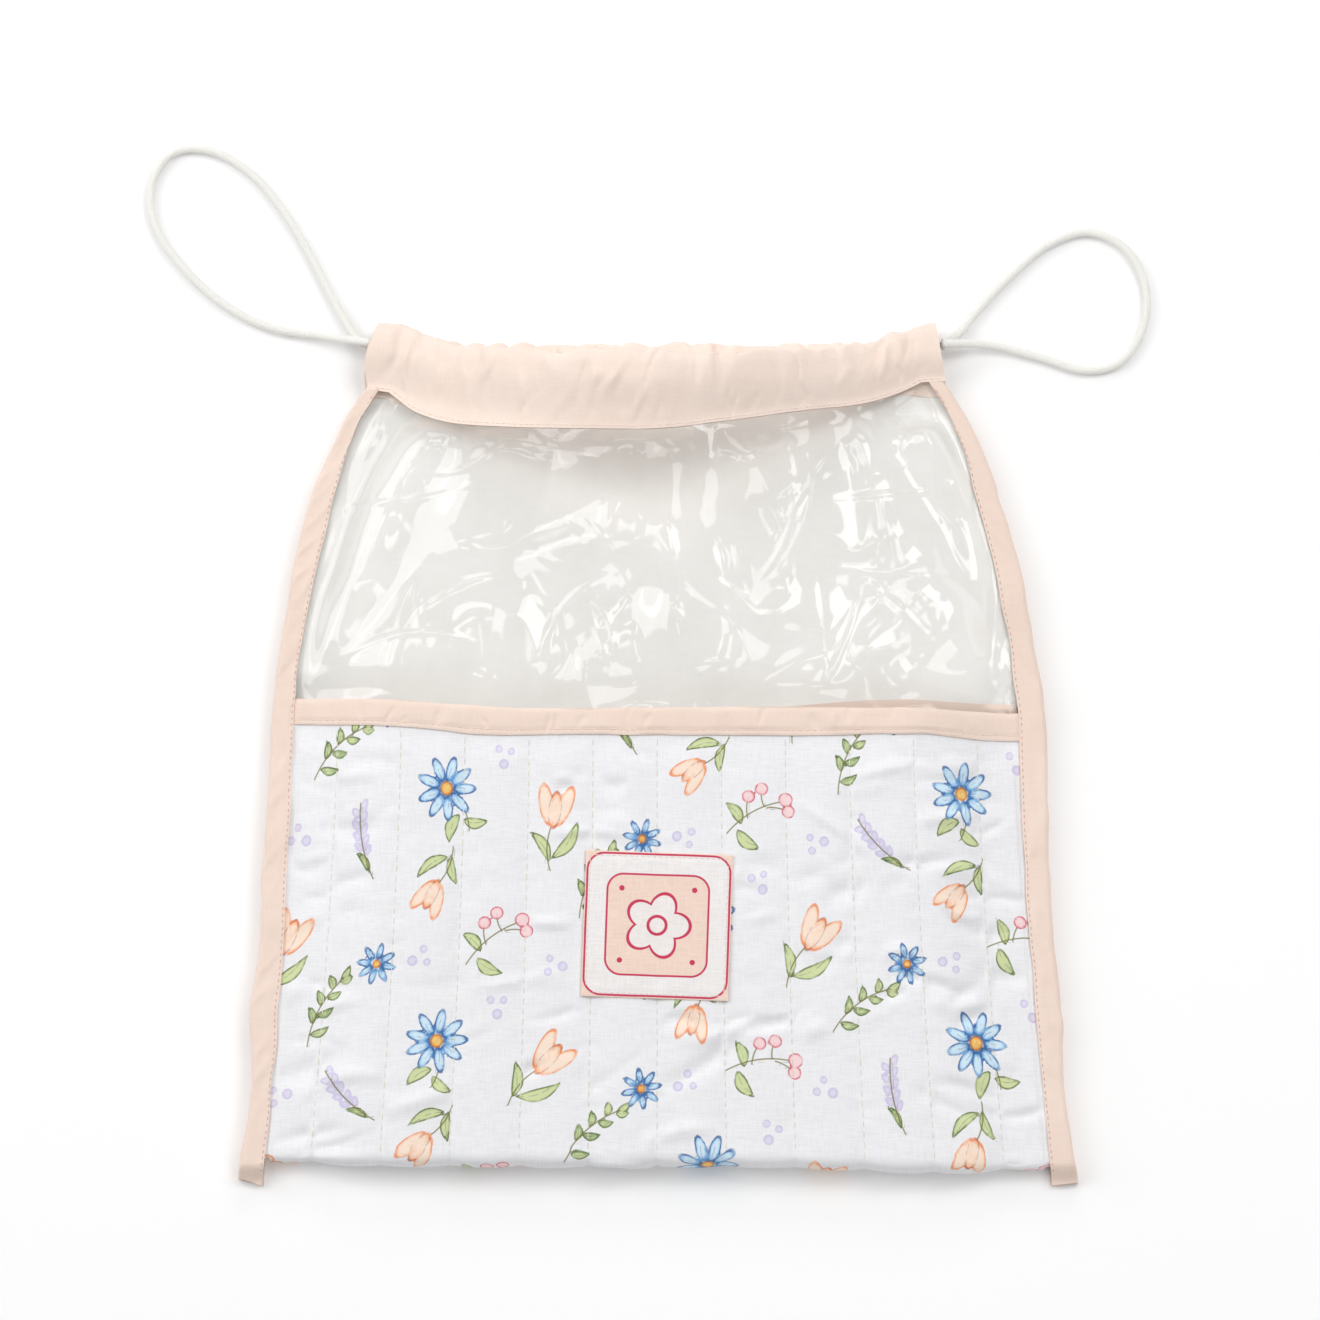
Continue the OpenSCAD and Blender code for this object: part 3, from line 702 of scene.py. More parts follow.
free_loop("left", LEFT_ROUTE)
free_loop("right", RIGHT_ROUTE)


def taper(a):
    return mix(1.0, CASING_TOP_W / MOUTH_W, np.clip((a - CASING_TUCK) / (CASING_W - CASING_TUCK), 0, 1))


def swell(a):
    return ease((a - CASING_TUCK) / (TUNNEL_LOW - CASING_TUCK))


BACK_TUNNEL_Z = TUNNEL_HALF + CASING_T / 2 + STAND - BINDING_T
FRONT_LIFT = BACK_TUNNEL_Z + TUNNEL_HALF * 2 + CASING_T + 0.4 - FRONT_Z + WINDOW_T / 2


def front_casing_point(c, a, h):
    """Point of the front casing: column, place up from its lower edge and height over its middle."""
    tuck = np.minimum(a, CASING_TUCK)
    y = casing_y(c) + tuck
    seam_z = window_z(c, y) - WINDOW_T / 2
    z = seam_z + swell(a) * FRONT_LIFT + (a - tuck) * RIM_SLOPE * arch(c) + h
    return points_at(across(c, y) * taper(a), casing_y(c) + a, z)


def back_casing_point(c, a, h):
    """Point of the back casing, counted as on the front one."""
    x = across(c, Y_CASING + np.minimum(a, CASING_TUCK)) * taper(a)
    z = mix(BACK_Z - QUILT_T / 2, BACK_TUNNEL_Z, swell(a)) + h
    drawn = BACK_DRAW * ease((EDGE_C - np.abs(c)) / 35) * ease((a - 6) / 20)
    return points_at(x, Y_CASING + a - drawn, z)


def cord_run(name, point, node):
    """The cord inside a casing, as a left and a right length."""
    for side, ends in (("left", (-EDGE_C, 0.0)), ("right", (0.0, EDGE_C))):
        c = np.linspace(*ends, 60)
        path = point(c, CORD_UP + CORD_RISE * (c / EDGE_C) ** 2, 0.0 * c)
        piece = cord_tube(f"{name}_{side}", path, CORD_D, CORD, 10)
        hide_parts(node)
        gather(piece)


cord_run("cord_front", front_casing_point, "front_cord_run")
cord_run("cord_back", back_casing_point, "back_cord_run")


def stitch_shape():
    """One stitch a unit long, wide and high, lying along X."""
    for chosen in bpy.context.selected_objects:
        chosen.select_set(False)
    bpy.ops.mesh.primitive_uv_sphere_add(segments=6, ring_count=5, radius=0.5)
    ball = bpy.context.object
    bpy.ops.object.mode_set(mode="EDIT")
    bpy.ops.mesh.select_all(action="SELECT")
    bpy.ops.transform.rotate(value=math.pi / 2, orient_axis="Y", center_override=(0, 0, 0))
    bpy.ops.object.mode_set(mode="OBJECT")
    points = np.array([v.co for v in ball.data.vertices])
    # Blunt the ends so that a stitch is more a short rod than a bead
    points[:, 0] = np.sign(points[:, 0]) * (0.5 * (np.abs(points[:, 0]) / 0.5) ** 0.75)
    faces = [list(p.vertices) for p in ball.data.polygons]
    bpy.data.objects.remove(ball)
    return points, faces


STITCH, STITCH_FACES = stitch_shape()


def sew(name, runs, finish, pitch, length, width, height):
    """Rows of stitches; a run is its points, and the cloth's normal there or its normals."""
    points, faces, uvs = [], [], []
    for number, (path, normals) in enumerate(runs):
        path = settled(path)
        normals = np.broadcast_to(normals, path.shape)
        run = run_of(path)
        wander = np.random.default_rng(number + 7)
        for stop in np.arange(pitch / 2, run[-1] - pitch / 2, pitch):
            stop += wander.uniform(-0.06, 0.06) * pitch
            ends = [stop - length / 2, stop + length / 2]
            a, b = (np.array([np.interp(s, run, path[:, k]) for k in range(3)]) for s in ends)
            n = np.array([np.interp(stop, run, normals[:, k]) for k in range(3)])
            along = b - a
            long = np.linalg.norm(along)
            along /= long
            side = np.cross(n, along)
            side /= np.linalg.norm(side)
            up = np.cross(along, side)
            base = len(points) * len(STITCH)
            points.append(
                (a + b) / 2 + STITCH[:, :1] * long * along + STITCH[:, 1:2] * width * side
                + STITCH[:, 2:] * height * up
            )
            uvs.append(np.stack([STITCH[:, 0] * long + stop, STITCH[:, 1] * width], 1))
            faces += [[base + v for v in face] for face in STITCH_FACES]
    corners = [v for face in faces for v in face]
    piece = link_mesh(name, np.concatenate(points), faces, np.concatenate(uvs)[corners], finish)
    return piece


# The print: each motif writes how far a point of the cloth lies from its shapes
INKS = ("blue", "peach", "green", "lilac", "pink", "gold")
LINE_KINDS = ("stem", "twig", "vein")
FAR = 4.0


class Print:
    """Distances of the cloth's points from a printed design, in millimetres."""

    def __init__(self, u, v):
        self.u, self.v = u, v
        self.fields = {name: np.full(u.shape, FAR) for name in INKS}
        for line in LINE_KINDS:
            self.fields[f"{line}_side"] = np.full(u.shape, 2.0)
            self.fields[f"{line}_near"] = np.zeros(u.shape)
        self.fields["tone"] = np.zeros(u.shape)

    def at(self, x, y, turn, size, reach):
        """Starts a motif: keeps the points near it, in its own frame."""
        self.near = (np.abs(self.u - x) < reach) & (np.abs(self.v - y) < reach)
        du, dv = self.u[self.near] - x, self.v[self.near] - y
        cos, sin = math.cos(turn), math.sin(turn)
        self.x, self.y = (du * cos + dv * sin) / size, (dv * cos - du * sin) / size
        self.size = size
        return bool(self.near.any())

    def put(self, name, distance):
        field = self.fields[name]
        field[self.near] = np.minimum(field[self.near], distance * self.size)

    def local(self, x, y, turn):
        cos, sin = math.cos(turn), math.sin(turn)
        dx, dy = self.x - x, self.y - y
        return dx * cos + dy * sin, dy * cos - dx * sin

    def oval(self, name, x, y, turn, long, wide, outlined=False):
        along, over = self.local(x, y, turn)
        distance = (np.sqrt((along / long) ** 2 + (over / wide) ** 2) - 1) * min(long, wide)
        self.put(name, distance)
        if outlined:
            self.line("vein", distance * self.size, 1.0)

    def leaf(self, x, y, turn, long, wide, name="green"):
        """Pointed leaf that starts at a point and runs one way."""
        along, over = self.local(x, y, turn)
        k = 2 * along / long - 1
        bow = 0.12 * long * (k * k - 1)
        outline = wide / 2 * (1 - k * k) * (1 - 0.25 * k)
        self.put(name, np.maximum((np.abs(over - bow) - outline) * 0.85, np.abs(along - long / 2) - long / 2))
        self.stem(x, y, turn, long * 0.85, -0.1 * long, "vein")

    def stem(self, x, y, turn, long, bend, line="stem"):
        along, over = self.local(x, y, turn)
        k = np.clip(along / long, 0, 1)
        past = np.maximum(-along, along - long) * self.size
        self.line(line, (over - 4 * bend * k * (1 - k)) * self.size, ease((0.5 - past) / 0.8))

    def line(self, line, side, share):
        """A pen line where the distance to its side is zero, as far as the share reaches."""
        near = ease((1.6 - np.abs(side)) / 0.8) * share
        field, share = self.fields[f"{line}_side"], self.fields[f"{line}_near"]
        closer = near > share[self.near]
        field[self.near] = np.where(closer, np.clip(side, -2, 2), field[self.near])
        share[self.near] = np.maximum(share[self.near], near)

    def shade(self, radius):
        tone = self.fields["tone"]
        tone[self.near] = np.maximum(tone[self.near], np.clip(1 - np.hypot(self.x, self.y) / radius, 0, 1))


def daisy(cloth, petals, leaves):
    if leaves:
        cloth.stem(0, 0, -1.7, 14, 1.8)
        cloth.leaf(-1.2, -8, -2.6, 9, 3.6)
        cloth.leaf(-1.4, -10, -0.7, 8, 3.2)
    for k in range(petals):
        turn = 2 * math.pi * (k + 0.1 * math.sin(5 * k)) / petals
        long = 3.7 + 0.4 * math.sin(3.1 * k)
        cloth.oval("blue", 5.6 * math.cos(turn), 5.6 * math.sin(turn), turn, long, 1.5)
        cloth.stem(2.4 * math.cos(turn), 2.4 * math.sin(turn), turn, 3.8, 0.25, "vein")
    cloth.oval("gold", 0, 0, 0, 1.9, 1.9)
    cloth.shade(9)


def tulip(cloth):
    cloth.stem(0, -4, -1.5, 15, -1.6)
    cloth.leaf(0.6, -15, 1.05, 14, 3.6)
    cloth.leaf(0.2, -16, 2.3, 11, 3.2)
    cloth.oval("peach", -2.9, 0.6, 1.85, 6.2, 2.2)
    cloth.oval("peach", 2.9, 0.6, 1.29, 6.2, 2.2)
    cloth.oval("peach", 0, -0.8, math.pi / 2, 5.4, 1.9, outlined=True)
    cloth.shade(7)


def lavender(cloth):
    cloth.stem(0, -10, math.pi / 2, 22, 1.6)
    for k in range(9):
        side = -1 if k % 2 else 1
        y = -1.5 + 1.55 * k
        bow = -1.6 * 4 * ((y + 10) / 22) * (1 - (y + 10) / 22)
        cloth.oval("lilac", bow + 1.25 * side, y, math.pi / 2 - 0.6 * side, 1.7, 1.0)
    cloth.leaf(-1.0, -8, 2.0, 8, 2.0)
    cloth.shade(10)


def berries(cloth):
    cloth.stem(-9, -7, 0.65, 20, 1.8)
    for x, y, turn, long in ((-3, -1.8, 1.7, 6.5), (1.5, 2.2, 1.9, 5.5), (2.0, 2.4, 0.0, 6.5)):
        cloth.stem(x, y, turn, long, 0.5, "twig")
        cloth.oval("pink", x + long * math.cos(turn), y + long * math.sin(turn), 0, 1.9, 1.75)
    cloth.oval("pink", 7.2, 5.6, 0, 2.1, 1.9)
    cloth.leaf(-6, -5.0, -0.5, 9, 3.6)
    cloth.leaf(-4.6, -3.4, 2.4, 8, 3.2)
    cloth.shade(9)


def sprig(cloth):
    cloth.stem(-12, 0, 0.0, 25, 2.6)
    for k in range(7):
        x = -8 + 3.2 * k
        bow = 2.6 * 4 * ((x + 12) / 25) * (1 - (x + 12) / 25)
        turn = 0.75 if k % 2 else -0.75
        cloth.leaf(x, bow, turn, 7.0 - 0.35 * k, 2.7)
    cloth.leaf(12, 0.6, -0.1, 5.5, 2.3)
    cloth.shade(12)


def dots(cloth):
    for x, y, r in ((0, 0, 1.5), (4.2, 1.5, 1.1), (1.6, 4.4, 1.2)):
        cloth.oval("lilac", x, y, 0, r, r)
    cloth.shade(4)


TILE_W, TILE_H = 104.0, 94.0
MOTIFS = [
    (19, 30, 0.35, 1.3, lambda cloth: daisy(cloth, 9, True)),
    (63, 24, -0.45, 1.3, tulip),
    (92, 56, 0.5, 1.3, lavender),
    (41, 68, -0.3, 1.35, berries),
    (79, 88, 0.9, 1.15, sprig),
    (98, 12, 0.0, 0.85, lambda cloth: daisy(cloth, 8, False)),
    (14, 84, 2.6, 1.1, tulip),
    (42, 40, 0.8, 1.3, dots),
    (8, 60, -0.6, 1.3, dots),
    (67, 58, 2.2, 1.3, dots),
]


def draw_print(u, v):
    """Half-drop repeat of the motifs over the cloth."""
    cloth = Print(u, v)
    first = int(math.floor(u.min() / TILE_W)) - 1
    last = int(math.ceil(u.max() / TILE_W)) + 1
    for i in range(first, last + 1):
        drop = TILE_H / 2 if i % 2 else 0.0
        low = int(math.floor((v.min() - drop) / TILE_H)) - 1
        high = int(math.ceil((v.max() - drop) / TILE_H)) + 1
        for j in range(low, high + 1):
            for x, y, turn, size, motif in MOTIFS:
                lean = 0.35 * math.sin(1.7 * i + 2.9 * j + x)
                if cloth.at(i * TILE_W + x, j * TILE_H + drop + y, turn + lean, size, 30.0):
                    motif(cloth)
    return cloth.fields


def quilt_columns():
    inside = np.arange(-134, 135) * CHANNEL_W / 24
    hem = np.array([HEM_C, 148.0, 150.5, 153.0, EDGE_C])
    return np.concatenate([-hem[::-1], inside, hem])


def drawn_in(c, y):
    """Columns of the quilt, those under the bindings drawn in with them, most of all near the bottom."""
    under = np.maximum(np.abs(c) - HEM_C, 0.0)
    return c - np.sign(c) * under * mix(0.11, 0.36, ease((-90 - y) / 20))


def quilt_rows(front_step, back_step):
    """Places along the folded panel, with the turn round its bottom fold."""
    top, end = Y_JOIN, Y_CASING + TUCK_IN
    front = np.linspace(top, Y_FOLD, int((top - Y_FOLD) / front_step) + 1)
    back = np.linspace(Y_FOLD, end, int((end - Y_FOLD) / back_step) + 1)
    turns = np.linspace(0, np.pi, 20)[1:-1]
    y = np.concatenate([front, np.full(len(turns), Y_FOLD), back])
    turn = np.concatenate([np.zeros(len(front)), turns, np.full(len(back), np.pi)])
    return y, turn


def channel(c):
    """Swell of the wadding between its rows of stitches, and the distance from the nearest row."""
    line = np.abs((c + CHANNEL_W / 2) % CHANNEL_W - CHANNEL_W / 2)
    share = np.clip(line / (CHANNEL_W / 2), 0, 1)
    return (1 - (1 - share) ** 2.2) * (np.abs(c) < HEM_C), line


QUILT_CREASES = dict(long=(14, 46), wide=(1.6, 3.8), high=(-1.9, 1.6), bow=2.2)


def beside_label(c, along):
    """Nought under the label, one away from it."""
    return ease((np.maximum(np.abs(c), np.abs(along - Y_LABEL)) - LABEL_W / 2 - 1) / 7)


def quilt_depth(c, y, turn, along, folds):
    """Depth of the cover's outer face, with channels, puckers and soft creases."""
    puff, line = channel(c)
    loose = beside_label(c, along)
    row = np.round(c / CHANNEL_W)
    pucker = soft_noise(along / 3.4 + 17 * row, row * 3.7, 3) * np.exp(-((line / 5.0) ** 2))
    roll = soft_noise(c / 46, along / 34, 31)
    ripple = soft_noise(c / 17, along / 6.5, 21)
    worn = 0.2 * pucker + 0.14 * ripple * ease(line / 3) + 0.4 * roll * puff
    worn = worn + folds * ease(line / 2.5) * ease((HEM_C + 1 - np.abs(c)) / 4)
    worn = np.maximum(worn * loose + 0.95 * puff * CHANNEL_PUFF, -1.4)
    return QUILT_T + worn * relief(y, turn)


# Creases of the handled quilt: how many, in which part of the cloth, with which seed and slant
QUILT_FOLDS = (
    (150, (-140, 140, None, 5), 201, (0.0, 0.22)),
    (26, (-150, 150, -160, 0), 202, (0.5, 0.3)),
    (26, (20, 130, -110, -40), 205, (0.15, 0.25)),
    (22, (-146, -118, -150, 0), 203, (0.1, 0.2)),
    (22, (118, 146, -150, 0), 204, (-0.2, 0.25)),
)


def quilt_folds(c, along):
    """Soft creases, most of them across the channels; the first lot goes on over the back."""
    rise = np.zeros_like(c)
    for count, (left, right, low, high), seed, lean in QUILT_FOLDS:
        part = (left, right, along.min() if low is None else low, high)
        rise += creases(c, along, count, part, seed, lean=lean, **QUILT_CREASES)
    return rise


def run_along(y, turn):
    """Place along the unfolded panel, counted from the front half's own place."""
    fold = (FOLD_GAP + SEAM_GAP) / 2 + QUILT_T
    flat = np.where(turn < np.pi / 2, y, 2 * Y_FOLD - np.pi * fold - y)
    return np.where((turn > 0) & (turn < np.pi), Y_FOLD - fold * turn, flat)


def quilt_cover():
    """The printed cover over its wadding, folded at the bottom."""
    y, turn = quilt_rows(1.1, 1.75)
    c = quilt_columns()
    grid_c, grid_y = np.meshgrid(c, y)
    grid_c = drawn_in(grid_c, grid_y)
    grid_turn = np.repeat(turn[:, None], len(c), axis=1)
    along = run_along(grid_y, grid_turn)
    depth = quilt_depth(grid_c, grid_y, grid_turn, along, quilt_folds(grid_c, along))
    face = panel_point(grid_y, grid_turn, grid_c, depth, FOLD_SQUARE)
    face[..., 2] = np.maximum(face[..., 2], 0.02)
    back = panel_point(grid_y, grid_turn, grid_c, depth - COVER_T, FOLD_SQUARE)
    back[..., 2] = np.maximum(back[..., 2], 0.3)
    uv = np.stack([grid_c, along], axis=-1)
    pieces = halves("quilt_cover", face, back, uv, PRINT, draw_print(grid_c, along))
    gather_both(pieces, "printed_cotton", "outer_cover", "wadding")


def quilt_stitches():
    """Rows of quilting on the pocket and over its bottom fold, and on the back as far as the casing."""
    rows = {"front": [], "left": [], "right": []}
    bend = np.linspace(0.08, 1.25, 10)
    front_y = np.append(np.arange(Y_BAND - 1.0, Y_FOLD, -1.0), np.full(len(bend), Y_FOLD))
    front_turn = np.append(np.zeros(len(front_y) - len(bend)), bend)
    back_y = np.arange(Y_FOLD, Y_CASING - 1, 1.0)
    back_turn = np.full_like(back_y, np.pi)
    for k in range(-QUILT_LINES, QUILT_LINES + 1):
        back_place = "left" if k < 0 else "right"
        for place, y, turn in (("front", front_y, front_turn), (back_place, back_y, back_turn)):
            c = np.full_like(y, k * CHANNEL_W)
            depth = quilt_depth(c, y, turn, run_along(y, turn), 0.0) + 0.02
            outward = np.stack([0 * y, -np.sin(turn), np.cos(turn)], axis=1)
            rows[place].append((panel_point(y, turn, c, depth, FOLD_SQUARE), outward))
    front = sew("quilting_front", rows["front"], QUILT_THREAD, pitch=3.9, length=2.7, width=0.42, height=0.32)
    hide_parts("quilting_thread")
    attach(front, "bag")
    for side in ("left", "right"):
        name = f"quilting_back_{side}"
        piece = sew(name, rows[side], QUILT_THREAD, pitch=3.9, length=2.7, width=0.5, height=0.3)
        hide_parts("quilting_thread")
        gather(piece)


def lining():
    """The lining inside, drawn in a little along the rows of quilting."""
    y, turn = quilt_rows(2.6, 2.2)
    hem = np.linspace(HEM_C, EDGE_C, 4)
    c = np.concatenate([np.linspace(-EDGE_C, -HEM_C, 4)[:-1], np.arange(-55, 56) * 2.6, hem[1:]])
    grid_c, grid_y = np.meshgrid(c, y)
    grid_c = drawn_in(grid_c, grid_y)
    grid_turn = np.repeat(turn[:, None], len(c), axis=1)
    puff, line = channel(grid_c)
    crumple = soft_noise(grid_c / 21, grid_y / 9, 41) * 0.25 + soft_noise(grid_c / 50, grid_y / 40, 42) * 0.3
    rise = (0.45 * puff + crumple * ease(line / 4)) * relief(grid_y, grid_turn)
    # Along the bindings above the band it is pinched up against the window
    pinch = 2.0 * ease((np.abs(grid_c) - HEM_C + 14) / 14) * ease((grid_y - Y_FREE - 4) / 8)
    pinch = pinch * (grid_turn > np.pi / 2) * ease((Y_CASING - 2 - grid_y) / 8)
    face = panel_point(grid_y, grid_turn, grid_c, -rise - pinch)
    back = panel_point(grid_y, grid_turn, grid_c, LINING_T - pinch)
    uv = np.stack([grid_c, np.where(grid_turn < np.pi / 2, grid_y, -grid_y - 330)], axis=-1)
    pieces = halves("lining", face, back, uv, LINING)
    gather_both(pieces, "lining_cotton", "inner_lining")


# How far the front casing's lower edge lies above its even curve, from the left end to the right one
HEM_LIFT, _ = spline([(c, lift, 0) for c, lift in (
    (-160, 3.4), (-155.8, 2.6), (-140, 0.6), (-126, -1.7), (-105, -2.8), (-75, -1.9), (-40, -1.5), (0, -1.4),
    (30, 0.9), (62, 3.6), (83, 4.5), (104, 4.2), (125, 4.5), (155.8, 5.6), (160, 5.8),
)], 1.0)


def hem_lift(c):
    return np.interp(c, HEM_LIFT[:, 0], HEM_LIFT[:, 1])


def window_middle():
    """Middle of the window sheet, from the band up into the casing."""
    grid_c, grid_k = np.meshgrid(np.linspace(-EDGE_C, EDGE_C, 401), np.linspace(0, 1, 161))
    y = mix(Y_JOIN + 0.1, casing_y(grid_c) + hem_lift(grid_c) + TUCK_IN, grid_k)
    z = window_z(grid_c, y) - WINDOW_T / 2
    return grid_c, grid_k, points_at(across(grid_c, y), y, z)


def window_fold(c, y):
    """Main folds of the slack sheet, which fan out from the gathered casing."""
    k = np.clip((y - Y_FREE) / (casing_y(c) - Y_FREE), 0, 1)
    at = 2 * np.pi * c / FOLD_W * (1 - FOLD_SPREAD * (1 - k))
    free = ease((HEM_C - np.abs(c)) / FOLD_SIDE) * ease(k / FOLD_LOW) * ease((1 - k) / FOLD_HIGH)
    even = FOLD_EVEN * np.sin(at + FOLD_WANDER * np.sin(at / 3))
    swing = FOLD_SWING * np.sin(at * FOLD_SLOW + FOLD_TURN * k)
    return FOLD_H * free * (FOLD_EVEN + FOLD_SWING + even + swing)


WINDOW_H, SLACK = 127, 5.0
LONG_CREASES = dict(long=(30, 85), wide=(1.0, 2.0), high=(0.35, 0.9), lean=(0.4, 0.7), bow=6.0)
STEEP_CREASES = dict(long=(20, 60), wide=(0.9, 1.7), high=(0.3, 0.85), lean=(1.7, 0.45), bow=4.0)


def window_slack(x, k):
    """Crumples between the folds: broad planes, with finer ones on the right and under the casing."""
    y = k * WINDOW_H
    high, low = ease((k - 0.35) / 0.6), ease((0.3 - k) / 0.3)
    right, left = ease((x + 20) / 80), ease((-20 - x) / 70)
    rise = facets(x, y, cell=(36, 32), slope=(0.16, 0.14), warp=14, soft=0.5, seed=301)
    rise += facets(x, y, cell=(15, 38), slope=(0.12, 0.05), warp=8, soft=0.5, seed=302) * high
    fine = facets(x, y, cell=(24, 21), slope=(0.14, 0.12), warp=10, soft=0.47, seed=303)
    rise += fine * mix(0.25, 1.0, right)
    level = facets(x, y, cell=(60, 8), slope=(0.01, 0.09), warp=5, soft=0.5, seed=304)
    rise += level * low * ease((40 - x) / 80)
    rise += 1.5 * soft_noise(x / 21, y / 30, 307) * left
    rise += creases(x, y, 20, (-140, 140, 8, 118), 305, **LONG_CREASES)
    rise += creases(x, y, 20, (-110, 130, 20, 122), 306, **STEEP_CREASES)
    return np.clip(rise, -SLACK, SLACK)


def window():
    """The clear sheet, slack between the band, the bindings and the gathered casing."""
    grid_c, grid_k, shape = window_middle()
    inside = ease((HEM_C + 1 - np.abs(grid_c)) / 9)
    free = inside * ease((grid_k - 0.01) / 0.07) * ease((0.985 - grid_k) / 0.06)
    # The sheet stands up at once along the bindings
    stand = 1.8 * inside * ease((grid_k - 0.01) / 0.1) * ease((0.97 - grid_k) / 0.12)
    slack = window_slack(grid_c, grid_k) * free
    shape[..., 2] += window_fold(grid_c, shape[..., 1]) + slack + stand
    shape[..., 2] = np.maximum(shape[..., 2], BACK_Z + 1.2)
    above = normals_of(shape, np.broadcast_to(UP, shape.shape))
    face, back = shape + above * WINDOW_T / 2, shape - above * WINDOW_T / 2
    uv = np.stack([grid_c, grid_k * WINDOW_H], axis=-1)
    pieces = halves("window_sheet", face, back, uv, VINYL)
    gather_both(pieces, "clear_vinyl", "window_panel")


BAND_CREASES = dict(long=(7, 13), wide=(0.8, 1.6), high=(-0.75, 0.35), lean=(1.5, 0.25), bow=0.6)


def band():
    """The cotton strip over the joint of pocket and window, and its row of stitches."""
    stitch_k = 0.16
    c = np.linspace(-HEM_C - 3.0, HEM_C + 3.0, 361)
    k = np.linspace(0, 1, 17)
    grid_c, grid_k = np.meshgrid(c, k)
    wave = 0.5 * soft_noise(grid_c / 34, grid_k * 0.6 + 1, 71)
    wave += 0.25 * soft_noise(grid_c / 11, grid_k * 0 + 3, 76)
    y = Y_BAND + BAND_W * grid_k + wave * (2 * grid_k - 1)
    crown = 1 - np.abs(2 * grid_k - 1) ** 6
    crease = soft_noise(grid_c / 5.5, grid_k * 1.3, 72) * 0.2 + soft_noise(grid_c / 13, grid_k, 73) * 0.35
    crease += creases(grid_c, y, 34, (-140, 140, Y_BAND, Y_BAND + BAND_W), 74, **BAND_CREASES)
    sewn = 1 - 0.75 * np.exp(-(((grid_k - stitch_k) / 0.08) ** 2))
    lift = BAND_LIFT + BAND_T + np.maximum(0.75 + crease, 0.1) * crown * sewn
    # Both ends run in under the bindings
    seen = ease((HEM_C + 2.6 - np.abs(grid_c)) / 3.0)
    x, under = across(grid_c, y), front_face(grid_c, y)
    face = points_at(x, y, under + mix(0.06, lift, seen))
    low = points_at(x, y, under + mix(0.02, BAND_LIFT, seen))
    piece = shell("band_strip", face, low, np.stack([grid_c, y], axis=-1), PEACH)
    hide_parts("cross_band")
    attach(piece, "bag")
    path = face[int(np.argmin(np.abs(k - stitch_k)))] + [0, 0, 0.03]
    thread = sew("band_stitches", [(path, UP)], PEACH_THREAD, pitch=2.6, length=1.9, width=0.45, height=0.34)
    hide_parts("band_thread")
    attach(thread, "bag")


def facing():
    """The strip's other half, inside; it shows a little above the band on the right."""
    c = np.linspace(-HEM_C - 0.5, HEM_C + 0.5, 191)
    k = np.linspace(0, 1, 13)
    grid_c, grid_k = np.meshgrid(c, k)
    show = 0.4 + 3.6 * ease((grid_c - 30) / 70)
    y = mix(Y_BAND, Y_BAND + BAND_W + show, grid_k)
    drop = QUILT_T + BAND_LIFT + 0.25 * soft_noise(grid_c / 9, grid_k, 75) * grid_k
    tip = ease((np.abs(grid_c) - HEM_C + 16) / 14) * ease((grid_k - 0.6) / 0.3)
    face = points_at(across(grid_c, y), y, front_face(grid_c, y) - mix(drop, 1.3, tip))
    thin = mix(BAND_T, 0.2, ease((np.abs(grid_c) - HEM_C + 9) / 8))
    back = face - points_at(0, 0, thin)
    piece = shell("facing_strip", face, back, np.stack([grid_c, y], axis=-1), PEACH)
    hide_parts("band_facing")
    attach(piece, "bag")


def casing_outline(seam_half):
    """Folded outline of a casing: up its front layer, over the top and down its back layer."""
    up = [
        (0, seam_half), (CASING_TUCK, seam_half),
        (mix(CASING_TUCK, TUNNEL_LOW, 0.5), mix(seam_half, TUNNEL_HALF, 0.6)),
        (TUNNEL_LOW, TUNNEL_HALF), (mix(TUNNEL_LOW, TUNNEL_HIGH, 0.5), TUNNEL_HALF),
        (TUNNEL_HIGH, TUNNEL_HALF * 0.95), (CASING_W - TOP_FOLD, TUNNEL_HALF / 2),
    ]
    whole = [(a, h, 0.0) for a, h in up] + [(CASING_W - CASING_T / 2, 0.0, 0.0)]
    whole += [(a, -h, 0.0) for a, h in up[::-1]]
    smooth, _ = spline(whole, 1.15)
    return smooth[:, :2]


CASING_CREASES = dict(long=(9, 26), wide=(1.0, 2.6), high=(-1.7, 1.5), lean=(1.4, 0.45), bow=1.8)
# The two layers of a casing read the noise this far apart, so that each has creases of its own
LAYER_STEP, CREASE_STEP = 37.0, 60


